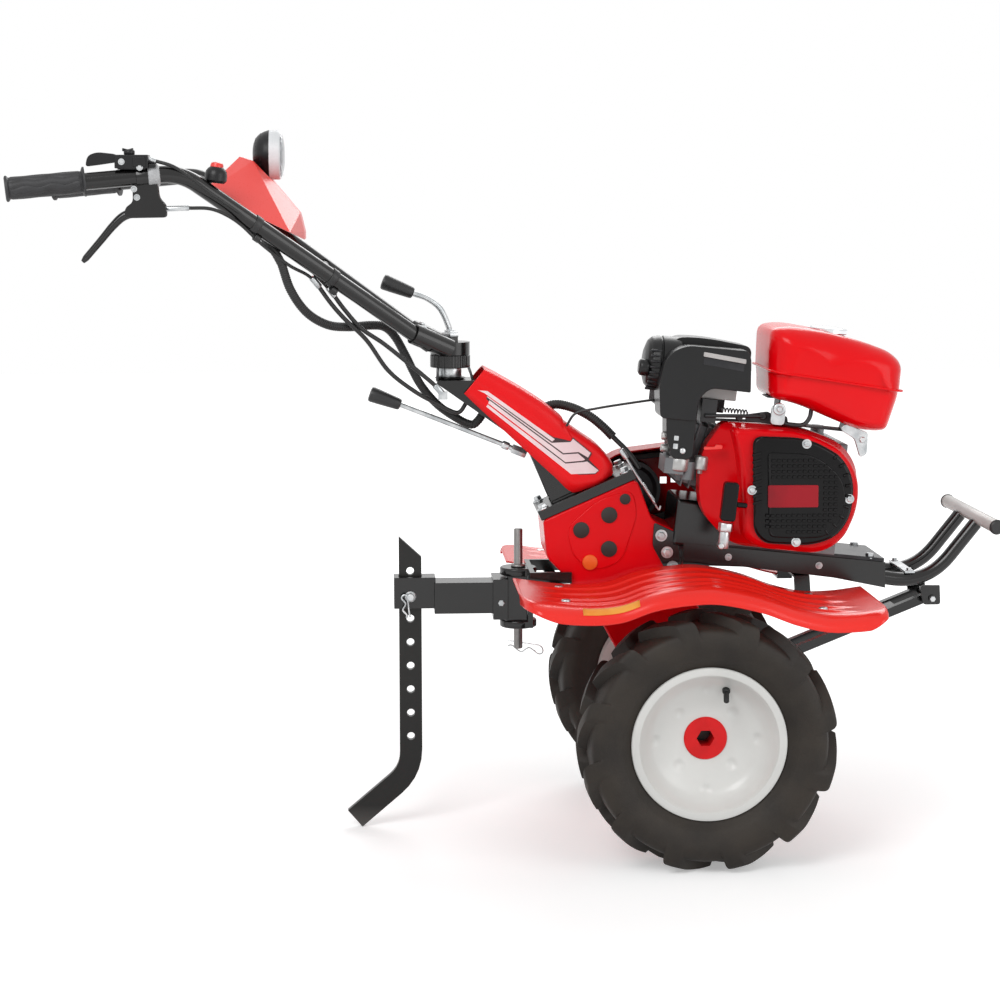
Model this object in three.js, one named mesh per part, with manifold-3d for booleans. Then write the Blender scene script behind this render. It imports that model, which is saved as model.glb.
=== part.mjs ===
// Two-wheeled walking tractor with a belt-driven gearbox, a single-cylinder petrol engine,
// a swivelling handlebar, a drag coulter at the rear hitch and a folding stand at the front.
// Millimetres. X points forward, Y to the left, Z up. While it is built, X = 0 is the axle.
// Heights are given for tyres that are heightDatum tall; other tyres lift or lower what they carry.
import * as THREE from 'three';
import { mergeVertices } from 'three/addons/utils/BufferGeometryUtils.js';
import { ConvexGeometry } from 'three/addons/geometries/ConvexGeometry.js';
import Module from 'manifold-3d';

const wasm = await Module();
wasm.setup();

// ---------------------------------------------------------------- driving dimensions
const clearance = 0.3; // between pieces that touch
const tyreRadius = 197; // 4.00-8 agricultural tyre
const tyreWidth = 110;
const heightDatum = 400;
const halfTrack = 245; // centre plane of each wheel
const rimRadius = 118; // flange of the 8 inch rim
const beadRadius = 104;
const rimWidth = 76;
const rimWall = 3;
const rimDiscInset = 45; // from the outer flange to the dished disc
const axleRecess = 35; // from the hub's face to the end of the axle
const hexAcrossFlats = 23;
const hubTubeRadius = 19;
const hubDiscRadius = 33;
const hubDiscThickness = 6;
const hubStart = 74; // inner end of each hub tube
const journalRadius = 17.5;
const caseHalfWidth = 58;
const legHalfWidth = 44;
const axleHousingRadius = 58;
const columnHalfWidth = 38;
const columnWall = 4;
const coverGap = 4; // between the column and the inside of its cover
const coverWall = 3;
const coverHalfWidth = columnHalfWidth + coverGap + coverWall;
const swivelX = -376; // vertical axis of the handlebar head
const swivelBaseZ = 731; // top of the column
const postHeight = 18;
const headDiscRadius = 31;
const headDiscHeight = 20;
const handleTubeRadius = 12.5;
const handleRootHalfSpan = 39;
const handleLength = 452; // straight part of each handle tube
const handleRise = 35.7; // degrees above level
const handleSpread = 25.1; // degrees outwards, seen from above
const handleBendRadius = 80;
const gripDroop = 5.4; // degrees below level
const gripTubeLength = 249;
const gripSpread = 9; // degrees outwards, seen from above
const gripLength = 114;
const gripRadius = 16;
const coulterWidth = 36;
const coulterThickness = 12;
const coulterX = -441; // centre of the coulter's shank
const coulterTop = 480;
const coulterBendHeight = 83; // above the ground
const coulterHolePitch = 38.5;
const coulterRake = 40.5; // degrees of the foot below level
const carrierSize = 50; // square tube of the tool carrier
const carrierZ = 383;
const hitchPinX = -268;
const hitchPinRadius = 7;
const engineX = 150; // crankshaft
const engineZ = 571;
const engineTilt = 6; // degrees nose down
const engineNearFace = -170; // outer face of the fan housing
const engineFarFace = 78; // power take-off face
const railHalfSpan = 48;
const railWidth = 36;
const railOuter = railHalfSpan + railWidth / 2;
const railInner = railHalfSpan - railWidth / 2;
const bumperTubeRadius = 11;
const bumperBarX = 466;
const bumperBarZ = 508;
const bumperBarLength = 300;
const bumperBarRadius = 12;
const bumperBend = 60;
const standPivotX = 392;
const standPivotZ = 379;
const standLength = 330;
const standAngle = 22; // degrees below level when folded back
const standBar = 14;
const standHalfSpan = 27;
const fenderOuterY = 298;
const fenderInnerY = 80;
const fenderWall = 3;
const fenderLip = 18;
const gearPulleyX = -75;
const gearPulleyZ = 538;
const gearPulleyRadius = 48;
const guardRearRadius = 67;
const guardFrontRadius = 62;
const enginePulleyRadius = 40;
const guardDepth = 56;
const guardWall = 2.5;
const lampRadius = 38;
const lampX = -655; // joint between the lamp's housing and its lens ring
const lampZ = 1080;

// ---------------------------------------------------------------- shape helpers
const rad = THREE.MathUtils.degToRad;

// A closed geometry as a solid for joins and cuts.
function solid(geometry) {
  const plain = geometry.index ? geometry.toNonIndexed() : geometry.clone();
  plain.deleteAttribute('normal');
  plain.deleteAttribute('uv');
  const merged = mergeVertices(plain, 1e-4);
  return new wasm.Manifold(new wasm.Mesh({
    numProp: 3,
    vertProperties: new Float32Array(merged.attributes.position.array),
    triVerts: new Uint32Array(merged.index.array),
  }));
}

function geometryOf(body) {
  const mesh = body.getMesh();
  const geometry = new THREE.BufferGeometry();
  geometry.setAttribute('position', new THREE.BufferAttribute(mesh.vertProperties, 3));
  geometry.setIndex(new THREE.BufferAttribute(mesh.triVerts, 1));
  geometry.computeVertexNormals();
  return geometry;
}

const join = (...parts) => geometryOf(parts.map(solid).reduce((a, b) => a.add(b)));
const cut = (base, ...tools) => geometryOf(tools.map(solid).reduce((a, b) => a.subtract(b), solid(base)));

// Outline of [x, z, radius] corners; a corner with a radius is rounded, at most to the middle of its edges.
function outline(corners) {
  const shape = new THREE.Shape();
  const count = corners.length;
  corners.forEach(([x, z, radius = 0], i) => {
    const corner = new THREE.Vector2(x, z);
    const before = new THREE.Vector2(...corners[(i + count - 1) % count]);
    const after = new THREE.Vector2(...corners[(i + 1) % count]);
    const room = 0.48 * Math.min(corner.distanceTo(before), corner.distanceTo(after));
    const reach = Math.min(radius, room);
    const start = corner.clone().add(before.sub(corner).setLength(reach));
    const end = corner.clone().add(after.sub(corner).setLength(reach));
    if (i === 0) shape.moveTo(start.x, start.y);
    else shape.lineTo(start.x, start.y);
    if (radius > 0) shape.quadraticCurveTo(corner.x, corner.y, end.x, end.y);
  });
  shape.closePath();
  return shape;
}

// Plate with an outline in the XZ plane, from y = low to y = high.
function plate(shape, low, high, curveSegments = 4) {
  const geometry = new THREE.ExtrudeGeometry(shape, { depth: high - low, bevelEnabled: false, curveSegments });
  return geometry.rotateX(Math.PI / 2).translate(0, high, 0);
}

function box(x, y, z) {
  const geometry = new THREE.BoxGeometry(x[1] - x[0], y[1] - y[0], z[1] - z[0]);
  return geometry.translate((x[0] + x[1]) / 2, (y[0] + y[1]) / 2, (z[0] + z[1]) / 2);
}

// Round bar between two points.
function rod(from, to, radius, sides = 20, endRadius = radius) {
  const a = new THREE.Vector3(...from);
  const b = new THREE.Vector3(...to);
  const along = b.clone().sub(a);
  const geometry = new THREE.CylinderGeometry(endRadius, radius, along.length(), sides);
  const turn = new THREE.Quaternion().setFromUnitVectors(new THREE.Vector3(0, 1, 0), along.clone().normalize());
  const middle = a.add(b).multiplyScalar(0.5);
  return geometry.applyQuaternion(turn).translate(middle.x, middle.y, middle.z);
}

function circle(x, z, radius) {
  const shape = new THREE.Shape();
  shape.absarc(x, z, radius, 0, 2 * Math.PI, false);
  return shape;
}

// Round tube or bar bent along a curve.
function bentBar(curve, radius, steps, sides = 12) {
  return new THREE.ExtrudeGeometry(circle(0, 0, radius), {
    steps, bevelEnabled: false, extrudePath: curve, curveSegments: sides / 2,
  });
}

// Path through corner points, each inner corner rounded with its own radius.
function bentPath(points, radii) {
  const corners = points.map((p) => new THREE.Vector3(...p));
  const path = new THREE.CurvePath();
  let last = corners[0];
  for (let i = 1; i < corners.length - 1; i += 1) {
    const into = corners[i].clone().sub(corners[i - 1]).normalize();
    const out = corners[i + 1].clone().sub(corners[i]).normalize();
    const reach = radii[i - 1] * Math.tan(into.angleTo(out) / 2);
    const start = corners[i].clone().addScaledVector(into, -reach);
    const end = corners[i].clone().addScaledVector(out, reach);
    path.add(new THREE.LineCurve3(last, start));
    path.add(new THREE.QuadraticBezierCurve3(start, corners[i], end));
    last = end;
  }
  path.add(new THREE.LineCurve3(last, corners.at(-1)));
  return path;
}

const cord = (points) => new THREE.CatmullRomCurve3(points.map((p) => new THREE.Vector3(...p)));

// ---------------------------------------------------------------- finishes
const finish = (color, roughness, metalness = 0) => new THREE.MeshStandardMaterial({ color, roughness, metalness });
const redPaint = finish(0xd80d12, 0.3);
const redPlastic = finish(0xe01a1a, 0.35);
const blackPaint = finish(0x161616, 0.4);
const blackPlastic = finish(0x1e1e20, 0.55);
const greyPlastic = finish(0x3c3d40, 0.5);
const rubber = finish(0x17181a, 0.85);
const rimPaint = finish(0xd9dbdf, 0.45);
const zinc = finish(0xb9bcbf, 0.35, 0.9);
const castAlloy = finish(0x8f9194, 0.5, 0.7);
const clearLens = finish(0xdfe4e8, 0.1);

const tractor = new THREE.Group();
const lift = 2 * tyreRadius - heightDatum;
const axleZ = tyreRadius - lift; // the axle as the machine's own heights give it
const machine = new THREE.Group(); // everything that the axle carries
machine.position.z = lift;
tractor.add(machine);
function piece(name, geometry, material, parent = machine) {
  const mesh = new THREE.Mesh(geometry, material);
  mesh.name = name;
  parent.add(mesh);
  return mesh;
}

// ---------------------------------------------------------------- wheels and axle
const wheelSegments = 32;

function tyreGeometry() {
  const half = tyreWidth / 2;
  const bead = rimWidth / 2 - 4 - 2 * clearance; // the beads sit between the rim's flanges
  const flank = [
    [beadRadius, bead], [rimRadius + 2, bead], [150, half], [178, half - 2], [tyreRadius, half - 24],
  ];
  const cavity = [[tyreRadius - 20, half - 30], [145, half - 12], [beadRadius, bead - 12]];
  const mirrored = (side) => side.map(([r, y]) => [r, -y]).reverse();
  const profile = [...flank, ...mirrored(flank), ...mirrored(cavity), ...cavity, flank[0]];
  return new THREE.LatheGeometry(profile.map(([r, y]) => new THREE.Vector2(r, y)).reverse(), wheelSegments);
}

// Rim with its dished disc; `side` is +1 where the disc faces +Y.
function rimGeometry(side) {
  const half = rimWidth / 2;
  const seat = beadRadius - clearance;
  const discOuter = half - rimDiscInset;
  const inner = hubTubeRadius + clearance;
  const seatFlat = hubDiscRadius + 4; // flat part of the disc under the hub's flange
  const profile = [
    [inner, discOuter - 4], [seatFlat, discOuter - 4], [60, discOuter], [92, discOuter + 12],
    [seat - rimWall, half - 6], [rimRadius - 3, half], [rimRadius, half - 4],
    [seat, half - 4], [seat, 4 - half], [rimRadius, 4 - half], [rimRadius - 3, -half],
    [seat - rimWall, 4 - half], [seat - rimWall, discOuter], [90, discOuter + 7], [60, discOuter - 4],
    [seatFlat, discOuter - 8], [inner, discOuter - 8], [inner, discOuter - 4],
  ];
  const points = profile.map(([r, y]) => new THREE.Vector2(r, side * y));
  return new THREE.LatheGeometry(side > 0 ? points.reverse() : points, wheelSegments);
}

// Hexagonal bar along Y.
function hexBar(acrossFlats, low, high) {
  const geometry = new THREE.CylinderGeometry(acrossFlats / Math.sqrt(3), acrossFlats / Math.sqrt(3), high - low, 6);
  return geometry.translate(0, (low + high) / 2, 0);
}

const hubFace = halfTrack + rimWidth / 2 - rimDiscInset - 4 + clearance + hubDiscThickness;
const axleHalf = hubFace - axleRecess;
const axleGroup = new THREE.Group();
axleGroup.position.z = tyreRadius;
tractor.add(axleGroup);
piece('axle', join(
  hexBar(hexAcrossFlats, -axleHalf, axleHalf),
  rod([0, -hubStart + 4, 0], [0, hubStart - 4, 0], journalRadius, 32),
), zinc, axleGroup);

for (const [sideName, side] of [['left', 1], ['right', -1]]) {
  const wheelY = side * halfTrack;
  piece(`tyre_${sideName}`, tyreGeometry(), rubber, axleGroup).position.y = wheelY;
  piece(`rim_${sideName}`, rimGeometry(side), rimPaint, axleGroup).position.y = wheelY;
  const discFace = wheelY + side * (rimWidth / 2 - rimDiscInset - 4);
  const hubEnd = discFace + side * (clearance + hubDiscThickness);
  const hub = cut(
    join(
      rod([0, side * hubStart, 0], [0, hubEnd, 0], hubTubeRadius, 32),
      rod([0, discFace + side * clearance, 0], [0, hubEnd, 0], hubDiscRadius, 32),
    ),
    hexBar(hexAcrossFlats + 2 * clearance, Math.min(side * hubStart, hubEnd) - 5, Math.max(side * hubStart, hubEnd) + 5),
  );
  piece(`hub_${sideName}`, hub, redPaint, axleGroup);
}

// ---------------------------------------------------------------- gearbox and chain leg
const caseTop = [[-233, 511], [-85, 576]]; // sloping joint under the column
const caseOutline = outline([
  [...caseTop[0], 6], [...caseTop[1], 10], [-60, 510, 10], [-20, 492, 12], [-14, 430, 12],
  [-40, 395, 10], [-176, 392, 12], [-201, 425, 10], [-227, 452, 10],
]);
const legOutline = outline([
  [-150, 420, 0], [0, 420, 0], [30, 330, 30], [axleHousingRadius - 4, axleZ + 10, 20],
  [axleHousingRadius - 14, axleZ - 36, 20], [0, axleZ - axleHousingRadius, 20],
  [-42, axleZ - 38, 20], [-72, axleZ + 20, 30], [-141, 350, 10],
]);
const journalBore = journalRadius + 0.5;
piece('gearbox_case', cut(
  join(
    plate(caseOutline, -caseHalfWidth, caseHalfWidth),
    plate(legOutline, -legHalfWidth, legHalfWidth),
    rod([0, -hubStart + 12, axleZ], [0, hubStart - 12, axleZ], 34, 32),
  ),
  rod([0, -hubStart, axleZ], [0, hubStart, axleZ], journalBore, 32),
), redPaint);

// ---------------------------------------------------------------- column with its cover
const topSlope = Math.atan2(caseTop[1][1] - caseTop[0][1], caseTop[1][0] - caseTop[0][0]);
// A point at `along` the case's top joint and `above` it.
function onCase(along, above) {
  const [x, z] = caseTop[0];
  return [
    x + along * Math.cos(topSlope) - above * Math.sin(topSlope),
    z + along * Math.sin(topSlope) + above * Math.cos(topSlope),
  ];
}
const caseTopLength = Math.hypot(caseTop[1][0] - caseTop[0][0], caseTop[1][1] - caseTop[0][1]);
const footPlate = 16;
const columnBack = [[-398, swivelBaseZ - 5], [-258, 627]]; // rear, lower side of the column
const columnOutline = outline([
  columnBack[0], [-398, swivelBaseZ], [-341, swivelBaseZ], [-212, 650], [-168, 590],
  onCase(caseTopLength - 60, footPlate), onCase(24, footPlate), columnBack[1],
]);
const columnInside = outline([
  [-386, swivelBaseZ - 8], [-341, swivelBaseZ - 8], [-150, 700], [-120, 620],
  onCase(caseTopLength - 64, footPlate + 6), onCase(34, footPlate + 4), [-250, 630],
]);
const inside = columnHalfWidth - columnWall;
piece('column', join(
  cut(plate(columnOutline, -columnHalfWidth, columnHalfWidth), plate(columnInside, -inside, inside)),
  plate(outline([
    onCase(-2, clearance), onCase(caseTopLength + 2, clearance),
    onCase(caseTopLength + 2, footPlate), onCase(-2, footPlate),
  ]), -caseHalfWidth + 4, caseHalfWidth - 4),
), blackPaint);

const coverShape = [
  [-355, 712, 8], [-323, 750, 8], [-222, 690, 30], [-190, 667, 20], [-130, 621, 10], [-116, 594, 8],
  onCase(122, footPlate + clearance), onCase(62, footPlate + clearance),
];
const coverLower = outline(coverShape);
const coverHollow = outline([
  [-372, 690], [-349, 715], [-323, 744], [-224, 685], [-192, 662], [-134, 618], [-121, 594],
  [-126, 540], [-184, 530],
]);
piece('column_cover', cut(
  plate(coverLower, -coverHalfWidth, coverHalfWidth),
  plate(coverHollow, -coverHalfWidth + coverWall, coverHalfWidth - coverWall),
  plate(outline([[-420, 640], [-420, swivelBaseZ + 1], [-336, swivelBaseZ + 1], [-300, 690]]),
    -coverHalfWidth + coverWall, coverHalfWidth - coverWall),
  plate(outline([onCase(-20, -60), onCase(caseTopLength + 20, -60), onCase(caseTopLength + 20, footPlate + clearance),
    onCase(-20, footPlate + clearance)]), -60, 60),
), redPlastic);

// ---------------------------------------------------------------- gear lever
const leverY = -20;
const leverElbow = [-286, leverY, 625];
const leverTop = [-455, leverY, 692];
const leverKnobEnd = [-503, leverY, 710];
piece('gear_lever', join(
  rod(leverElbow, leverTop, 4, 12),
  rod([-257.6, leverY, 613.8], leverElbow, 7, 12),
  rod(leverTop, leverKnobEnd, 12, 20),
), blackPlastic);

// ---------------------------------------------------------------- handlebar head
const discLow = swivelBaseZ + clearance + postHeight;
const discHigh = discLow + headDiscHeight;
piece('head_base', join(
  rod([swivelX, 0, swivelBaseZ + clearance], [swivelX, 0, discLow + 1], 20, 32),
  rod([swivelX, 0, discLow], [swivelX, 0, discHigh], headDiscRadius, 32),
), blackPaint);

// ---------------------------------------------------------------- handlebar
const rise = Math.tan(rad(handleRise));
const spread = Math.tan(rad(handleSpread));
const handleRun = handleLength * Math.cos(rad(handleRise));
const rootX = swivelX - 33;
const rootZ = 787;
// Point on the handle tube's centre line, `run` behind its root, on one side.
const onHandle = (run, side) => [rootX - run, side * (handleRootHalfSpan + run * spread), rootZ + run * rise];
const bend = onHandle(handleRun, 1);
const gripEnd = [
  bend[0] - gripTubeLength, bend[1] + gripTubeLength * Math.tan(rad(gripSpread)),
  bend[2] - gripTubeLength * Math.tan(rad(gripDroop)),
];
const socketLength = 26;
const upperLow = discHigh + clearance;
const upperHigh = upperLow + 20;
const headParts = [
  rod([swivelX, 0, upperLow], [swivelX, 0, upperHigh], headDiscRadius, 24),
  rod([swivelX, 0, upperHigh - 1], [swivelX, 0, upperHigh + 8], 14, 6),
];
for (const side of [1, -1]) {
  const start = [swivelX - 2, side * 26, rootZ - 8];
  headParts.push(rod(start, onHandle(socketLength, side), handleTubeRadius + 4, 16));
}
const tubeBores = [1, -1].map((side) => rod(onHandle(-2, side), onHandle(60, side), handleTubeRadius + clearance + 0.5, 16));
const headFloor = box([-500, -300], [-100, 100], [upperLow - 60, upperLow]);
piece('swivel_head', cut(join(...headParts), ...tubeBores, headFloor), blackPaint);

const gripTubeRun = gripTubeLength - gripLength;
function alongGrip(run, side) {
  const t = run / gripTubeLength;
  return [
    bend[0] + t * (gripEnd[0] - bend[0]), side * (bend[1] + t * (gripEnd[1] - bend[1])),
    bend[2] + t * (gripEnd[2] - bend[2]),
  ];
}
const tubeSteps = 18;
const gripPath = (side) => bentPath(
  [onHandle(0, side), onHandle(handleRun, side), alongGrip(gripTubeLength - 6, side)],
  [handleBendRadius],
);
for (const [sideName, side] of [['left', 1], ['right', -1]]) {
  piece(`handle_tube_${sideName}`, bentBar(gripPath(side), handleTubeRadius, tubeSteps, 12), blackPaint);
  const grip = cut(
    join(
      rod(alongGrip(gripTubeRun, side), alongGrip(gripTubeLength, side), gripRadius, 16),
      rod(alongGrip(gripTubeRun, side), alongGrip(gripTubeRun + 4, side), gripRadius + 6, 16),
      rod(alongGrip(gripTubeLength - 4, side), alongGrip(gripTubeLength, side), gripRadius + 4, 16),
    ),
    rod(alongGrip(gripTubeRun - 10, side), alongGrip(gripTubeLength - 5, side), handleTubeRadius + clearance + 0.5, 16),
  );
  piece(`grip_${sideName}`, grip, rubber);
}

const crossRun = 165;
const crossY = onHandle(crossRun, 1)[1];
const crossPlate = rod([onHandle(crossRun, 1)[0], -crossY + 4, onHandle(crossRun, 1)[2]],
  [onHandle(crossRun, 1)[0], crossY - 4, onHandle(crossRun, 1)[2]], 8, 16);
const tubeSleeves = [1, -1].map((side) => rod(onHandle(crossRun - 60, side), onHandle(crossRun + 60, side),
  handleTubeRadius + clearance + 0.5, 16));
piece('handle_cross_member', cut(crossPlate, ...tubeSleeves), blackPaint);

// ---------------------------------------------------------------- things on the handlebar
const clampFoot = [swivelX, 0, upperHigh + 8 + clearance];
const clampRise = [swivelX - 16, -8, 842];
const clampBend = [swivelX - 58, -12, 866];
const clampEnd = [swivelX - 106, -14, 885];
piece('clamp_lever', join(
  rod(clampFoot, [swivelX, 0, clampFoot[2] + 10], 11, 6),
  rod([swivelX, 0, clampFoot[2] + 4], clampRise, 4.5, 12),
  rod(clampRise, clampBend, 4.5, 12),
  rod(clampBend, clampEnd, 12, 20),
), blackPlastic);

// Height of the plane that lies on top of both handle tubes, at a given x.
const overTubes = (x) => rootZ + (rootX - x) * rise + (handleTubeRadius + clearance) / Math.cos(rad(handleRise));
const hoodCorners = [];
for (const side of [1, -1]) {
  hoodCorners.push(
    [-724, side * 162, overTubes(-724)], [-617, side * 138, overTubes(-617)], [-724, side * 146, overTubes(-724) + 6],
    [-597, side * 45, overTubes(-597) + 12], [-597, side * 45, overTubes(-597)], [-604, side * 40, 979],
    [-650, side * 46, 1040], [-678, side * 50, 1070], [-698, side * 50, 1077], [-702, side * 60, 1046],
  );
}
const lampSeat = lampRadius + clearance;
const hood = new ConvexGeometry(hoodCorners.map((p) => new THREE.Vector3(...p)));
piece('dash_cover', cut(hood,
  rod([lampX - 28, 0, lampZ], [lampX + 60, 0, lampZ], lampSeat, 40),
), redPlastic);

const lampProfile = [[0, -26], [18, -24], [30, -17], [36, -6], [lampRadius, 0], [0, 0]];
const lampShell = new THREE.LatheGeometry(lampProfile.map(([r, x]) => new THREE.Vector2(r, x)), 28);
piece('headlamp_housing', lampShell.rotateZ(-Math.PI / 2).translate(lampX - clearance, 0, lampZ), blackPlastic);
const lensProfile = [[0, 0], [lampRadius, 0], [lampRadius, 16], [34, 21], [20, 23], [0, 24]];
const lens = new THREE.LatheGeometry(lensProfile.map(([r, x]) => new THREE.Vector2(r, x)), 28);
piece('headlamp_lens', lens.rotateZ(-Math.PI / 2).translate(lampX, 0, lampZ), clearLens);

const switchRun = handleRun - 55;
const switchFoot = onHandle(switchRun, -1);
const switchTop = [switchFoot[0] + 6, switchFoot[1], switchFoot[2] + 52];
piece('kill_switch', cut(
  rod(switchFoot, switchTop, 15, 24, 12),
  rod(onHandle(switchRun - 60, -1), onHandle(switchRun + 60, -1), handleTubeRadius + clearance + 0.5, 16),
  box([-900, -600], [-300, 0], [switchFoot[2] - 40, switchFoot[2] + 4]),
), redPlastic);

const throttleRun = 68;
const throttleSeat = alongGrip(throttleRun, -1);
const tubeSleeve = rod(alongGrip(-20, -1), alongGrip(gripTubeRun, -1), handleTubeRadius + clearance + 0.5, 16);
piece('throttle_control', cut(
  join(
    box([throttleSeat[0] - 24, throttleSeat[0] + 24], [throttleSeat[1] - 16, throttleSeat[1] + 16],
      [throttleSeat[2] + 2, throttleSeat[2] + 33]),
    box([throttleSeat[0] - 64, throttleSeat[0] - 20], [throttleSeat[1] - 5, throttleSeat[1] + 5],
      [throttleSeat[2] + 17, throttleSeat[2] + 33]),
    rod([throttleSeat[0] - 4, throttleSeat[1], throttleSeat[2] + 30], [throttleSeat[0] - 4, throttleSeat[1],
      throttleSeat[2] + 40], 8, 16),
  ),
  tubeSleeve,
), blackPlastic);

const clutchRun = 46;
const clutchSeat = alongGrip(clutchRun, -1);
const clutchOutline = outline([
  [clutchSeat[0] - 22, clutchSeat[2] - 6], [clutchSeat[0] + 14, clutchSeat[2] - 6],
  [clutchSeat[0] + 16, clutchSeat[2] - 32], [clutchSeat[0] + 26, clutchSeat[2] - 42],
  [clutchSeat[0] + 26, clutchSeat[2] - 60], [clutchSeat[0] - 38, clutchSeat[2] - 62, 10],
  [clutchSeat[0] - 93, clutchSeat[2] - 127, 3], [clutchSeat[0] - 101, clutchSeat[2] - 121, 3],
  [clutchSeat[0] - 46, clutchSeat[2] - 50, 10], [clutchSeat[0] - 22, clutchSeat[2] - 38],
]);
piece('clutch_lever', cut(
  plate(clutchOutline, clutchSeat[1] - 9, clutchSeat[1] + 9), tubeSleeve,
  bentBar(gripPath(-1), handleTubeRadius + 2 * clearance, tubeSteps, 12),
), blackPaint);

// ---------------------------------------------------------------- hitch, carrier and coulter
const hitchTop = 428;
const hitchBottom = 334;
const hitchPlate = 10;
const hitchWebX = -254;
const hitchWeb = 8;
const hitchArmX = -188; // front end of the arms beside the gearbox
const hitchHalf = 28;
const hitchHole = rod([hitchPinX, 0, 200], [hitchPinX, 0, 600], hitchPinRadius + clearance, 24);
const rounded = (low, high) => join(
  box([hitchPinX, hitchWebX + 2], [-hitchHalf, hitchHalf], [low, high]),
  rod([hitchPinX, 0, low], [hitchPinX, 0, high], hitchHalf, 32),
);
piece('hitch_bracket', cut(
  join(
    rounded(hitchTop - hitchPlate, hitchTop), rounded(hitchBottom, hitchBottom + hitchPlate),
    box([hitchWebX, hitchWebX + hitchWeb], [-hitchHalf, hitchHalf], [hitchBottom, hitchTop]),
    box([hitchWebX, hitchArmX], [-caseHalfWidth - 8, -caseHalfWidth - clearance], [hitchTop - 15.7, hitchTop + 2]),
    box([hitchWebX, hitchArmX], [caseHalfWidth + clearance, caseHalfWidth + 8], [hitchTop - 15.7, hitchTop + 2]),
    box([hitchWebX, hitchWebX + hitchWeb], [-caseHalfWidth - 8, caseHalfWidth + 8], [hitchTop - 15.7, hitchTop + 2]),
  ),
  hitchHole,
), blackPaint);
piece('hitch_pin', join(
  rod([hitchPinX, 0, 296], [hitchPinX, 0, 491], hitchPinRadius, 24),
  rod([hitchPinX, 0, hitchTop + clearance], [hitchPinX, 0, hitchTop + 6], 12, 24),
), zinc);

const half = carrierSize / 2;
const sleeveRight = coulterX + coulterWidth / 2 + 22;
const sleeveLeft = coulterX - coulterWidth / 2 - 8;
const blockRight = hitchWebX - 1;
piece('tool_carrier', cut(
  join(
    box([sleeveRight - 2, hitchPinX - 20], [-half, half], [carrierZ - half, carrierZ + half]),
    box([sleeveLeft, sleeveRight], [-20, 20], [carrierZ + 8 - half, carrierZ + 8 + half]),
    box([hitchPinX - 42, hitchPinX - 18], [-half - 8, half + 8], [carrierZ - 34, carrierZ + 31]),
    box([hitchPinX - 20, blockRight], [-20, 20],
      [hitchBottom + hitchPlate + clearance, hitchTop - hitchPlate - clearance]),
  ),
  box([coulterX - coulterWidth / 2 - clearance, coulterX + coulterWidth / 2 + clearance],
    [-coulterThickness / 2 - clearance, coulterThickness / 2 + clearance], [300, 460]),
  hitchHole,
  rod([coulterX, -40, carrierZ + 3], [coulterX, 40, carrierZ + 3], 6 + clearance, 16),
), blackPaint);

const rakeX = Math.cos(rad(coulterRake));
const rakeZ = Math.sin(rad(coulterRake));
const coulterFront = coulterX + coulterWidth / 2;
const coulterRear = coulterX - coulterWidth / 2;
// The foot's lower front corner is on the ground.
const coulterBendZ = coulterBendHeight - lift;
const footFront = [coulterFront - coulterBendHeight / rakeZ * rakeX, -lift];
const footRear = [footFront[0] - coulterWidth * rakeZ, footFront[1] + coulterWidth * rakeX];
const kneeRise = coulterWidth * Math.tan(rad((90 - coulterRake) / 2));
const coulterOutline = outline([
  [coulterRear, coulterTop], [coulterFront, coulterTop - 33], [coulterFront, coulterBendZ, 45],
  footFront, footRear, [coulterRear, coulterBendZ + kneeRise, 22],
]);
const pinZ = carrierZ + 3;
for (let z = pinZ + coulterHolePitch; z > coulterBendZ + 60; z -= coulterHolePitch) {
  coulterOutline.holes.push(circle(coulterX, z, 6.5));
}
piece('coulter', plate(coulterOutline, -coulterThickness / 2, coulterThickness / 2, 5), blackPaint);
piece('coulter_pin', rod([coulterX, -32, pinZ], [coulterX, 28, pinZ], 6, 16), zinc);

// ---------------------------------------------------------------- engine frame and bumper
const mountPlate = 6;
const crankcaseFloor = -106; // below the crankshaft
const railLevel = crankcaseFloor - mountPlate - 2 * clearance;
// A point of the tilted engine, seen from the crankshaft, in the tractor's frame.
const onEngine = (x, z) => [
  engineX + x * Math.cos(rad(engineTilt)) + z * Math.sin(rad(engineTilt)),
  engineZ - x * Math.sin(rad(engineTilt)) + z * Math.cos(rad(engineTilt)),
];
const railTop = [onEngine(-150, railLevel), onEngine(174, railLevel)];
const railLow = [[312, 400], [229, 417], [84, 436], [-10, 440]];
const rails = [1, -1].map((side) => plate(outline([...railTop, ...railLow]),
  side * railHalfSpan - railWidth / 2, side * railHalfSpan + railWidth / 2));
const railHollows = [1, -1].map((side) => plate(outline([
  onEngine(-190, railLevel - 6), onEngine(80, railLevel - 8), [240, 436], [330, 422.6], [330, 380], [229, 400],
  [-40, 420],
]), side * railHalfSpan - railWidth / 2 + 5, side * railHalfSpan + railWidth / 2 - 5));
piece('engine_frame', join(
  cut(join(...rails), ...railHollows),
  box([-12 + clearance, -4], [-railOuter, railOuter], [437, 474]),
  plate(outline([[284, 437], [311, 434], [311, 426], [284, 429]]), -railInner - 4, railInner + 4),
), blackPaint);

const bumperPoints = (side) => [
  [240, side * railHalfSpan, 435.5 - bumperTubeRadius], [384, side * railHalfSpan, 414 - bumperTubeRadius],
  [bumperBarX - 6, side * railHalfSpan, bumperBarZ - 8],
];
const bumperTube = (side, radius) => bentBar(bentPath(bumperPoints(side), [bumperBend]), radius, 14, 10);
piece('bumper', join(
  bumperTube(1, bumperTubeRadius), bumperTube(-1, bumperTubeRadius),
  rod([bumperBarX, -bumperBarLength / 2, bumperBarZ], [bumperBarX, bumperBarLength / 2, bumperBarZ],
    bumperBarRadius, 24),
), blackPaint);
piece('bumper_strap', box([340, 366], [-railHalfSpan - 8, railHalfSpan + 8], [421, 424.5]), zinc);

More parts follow.
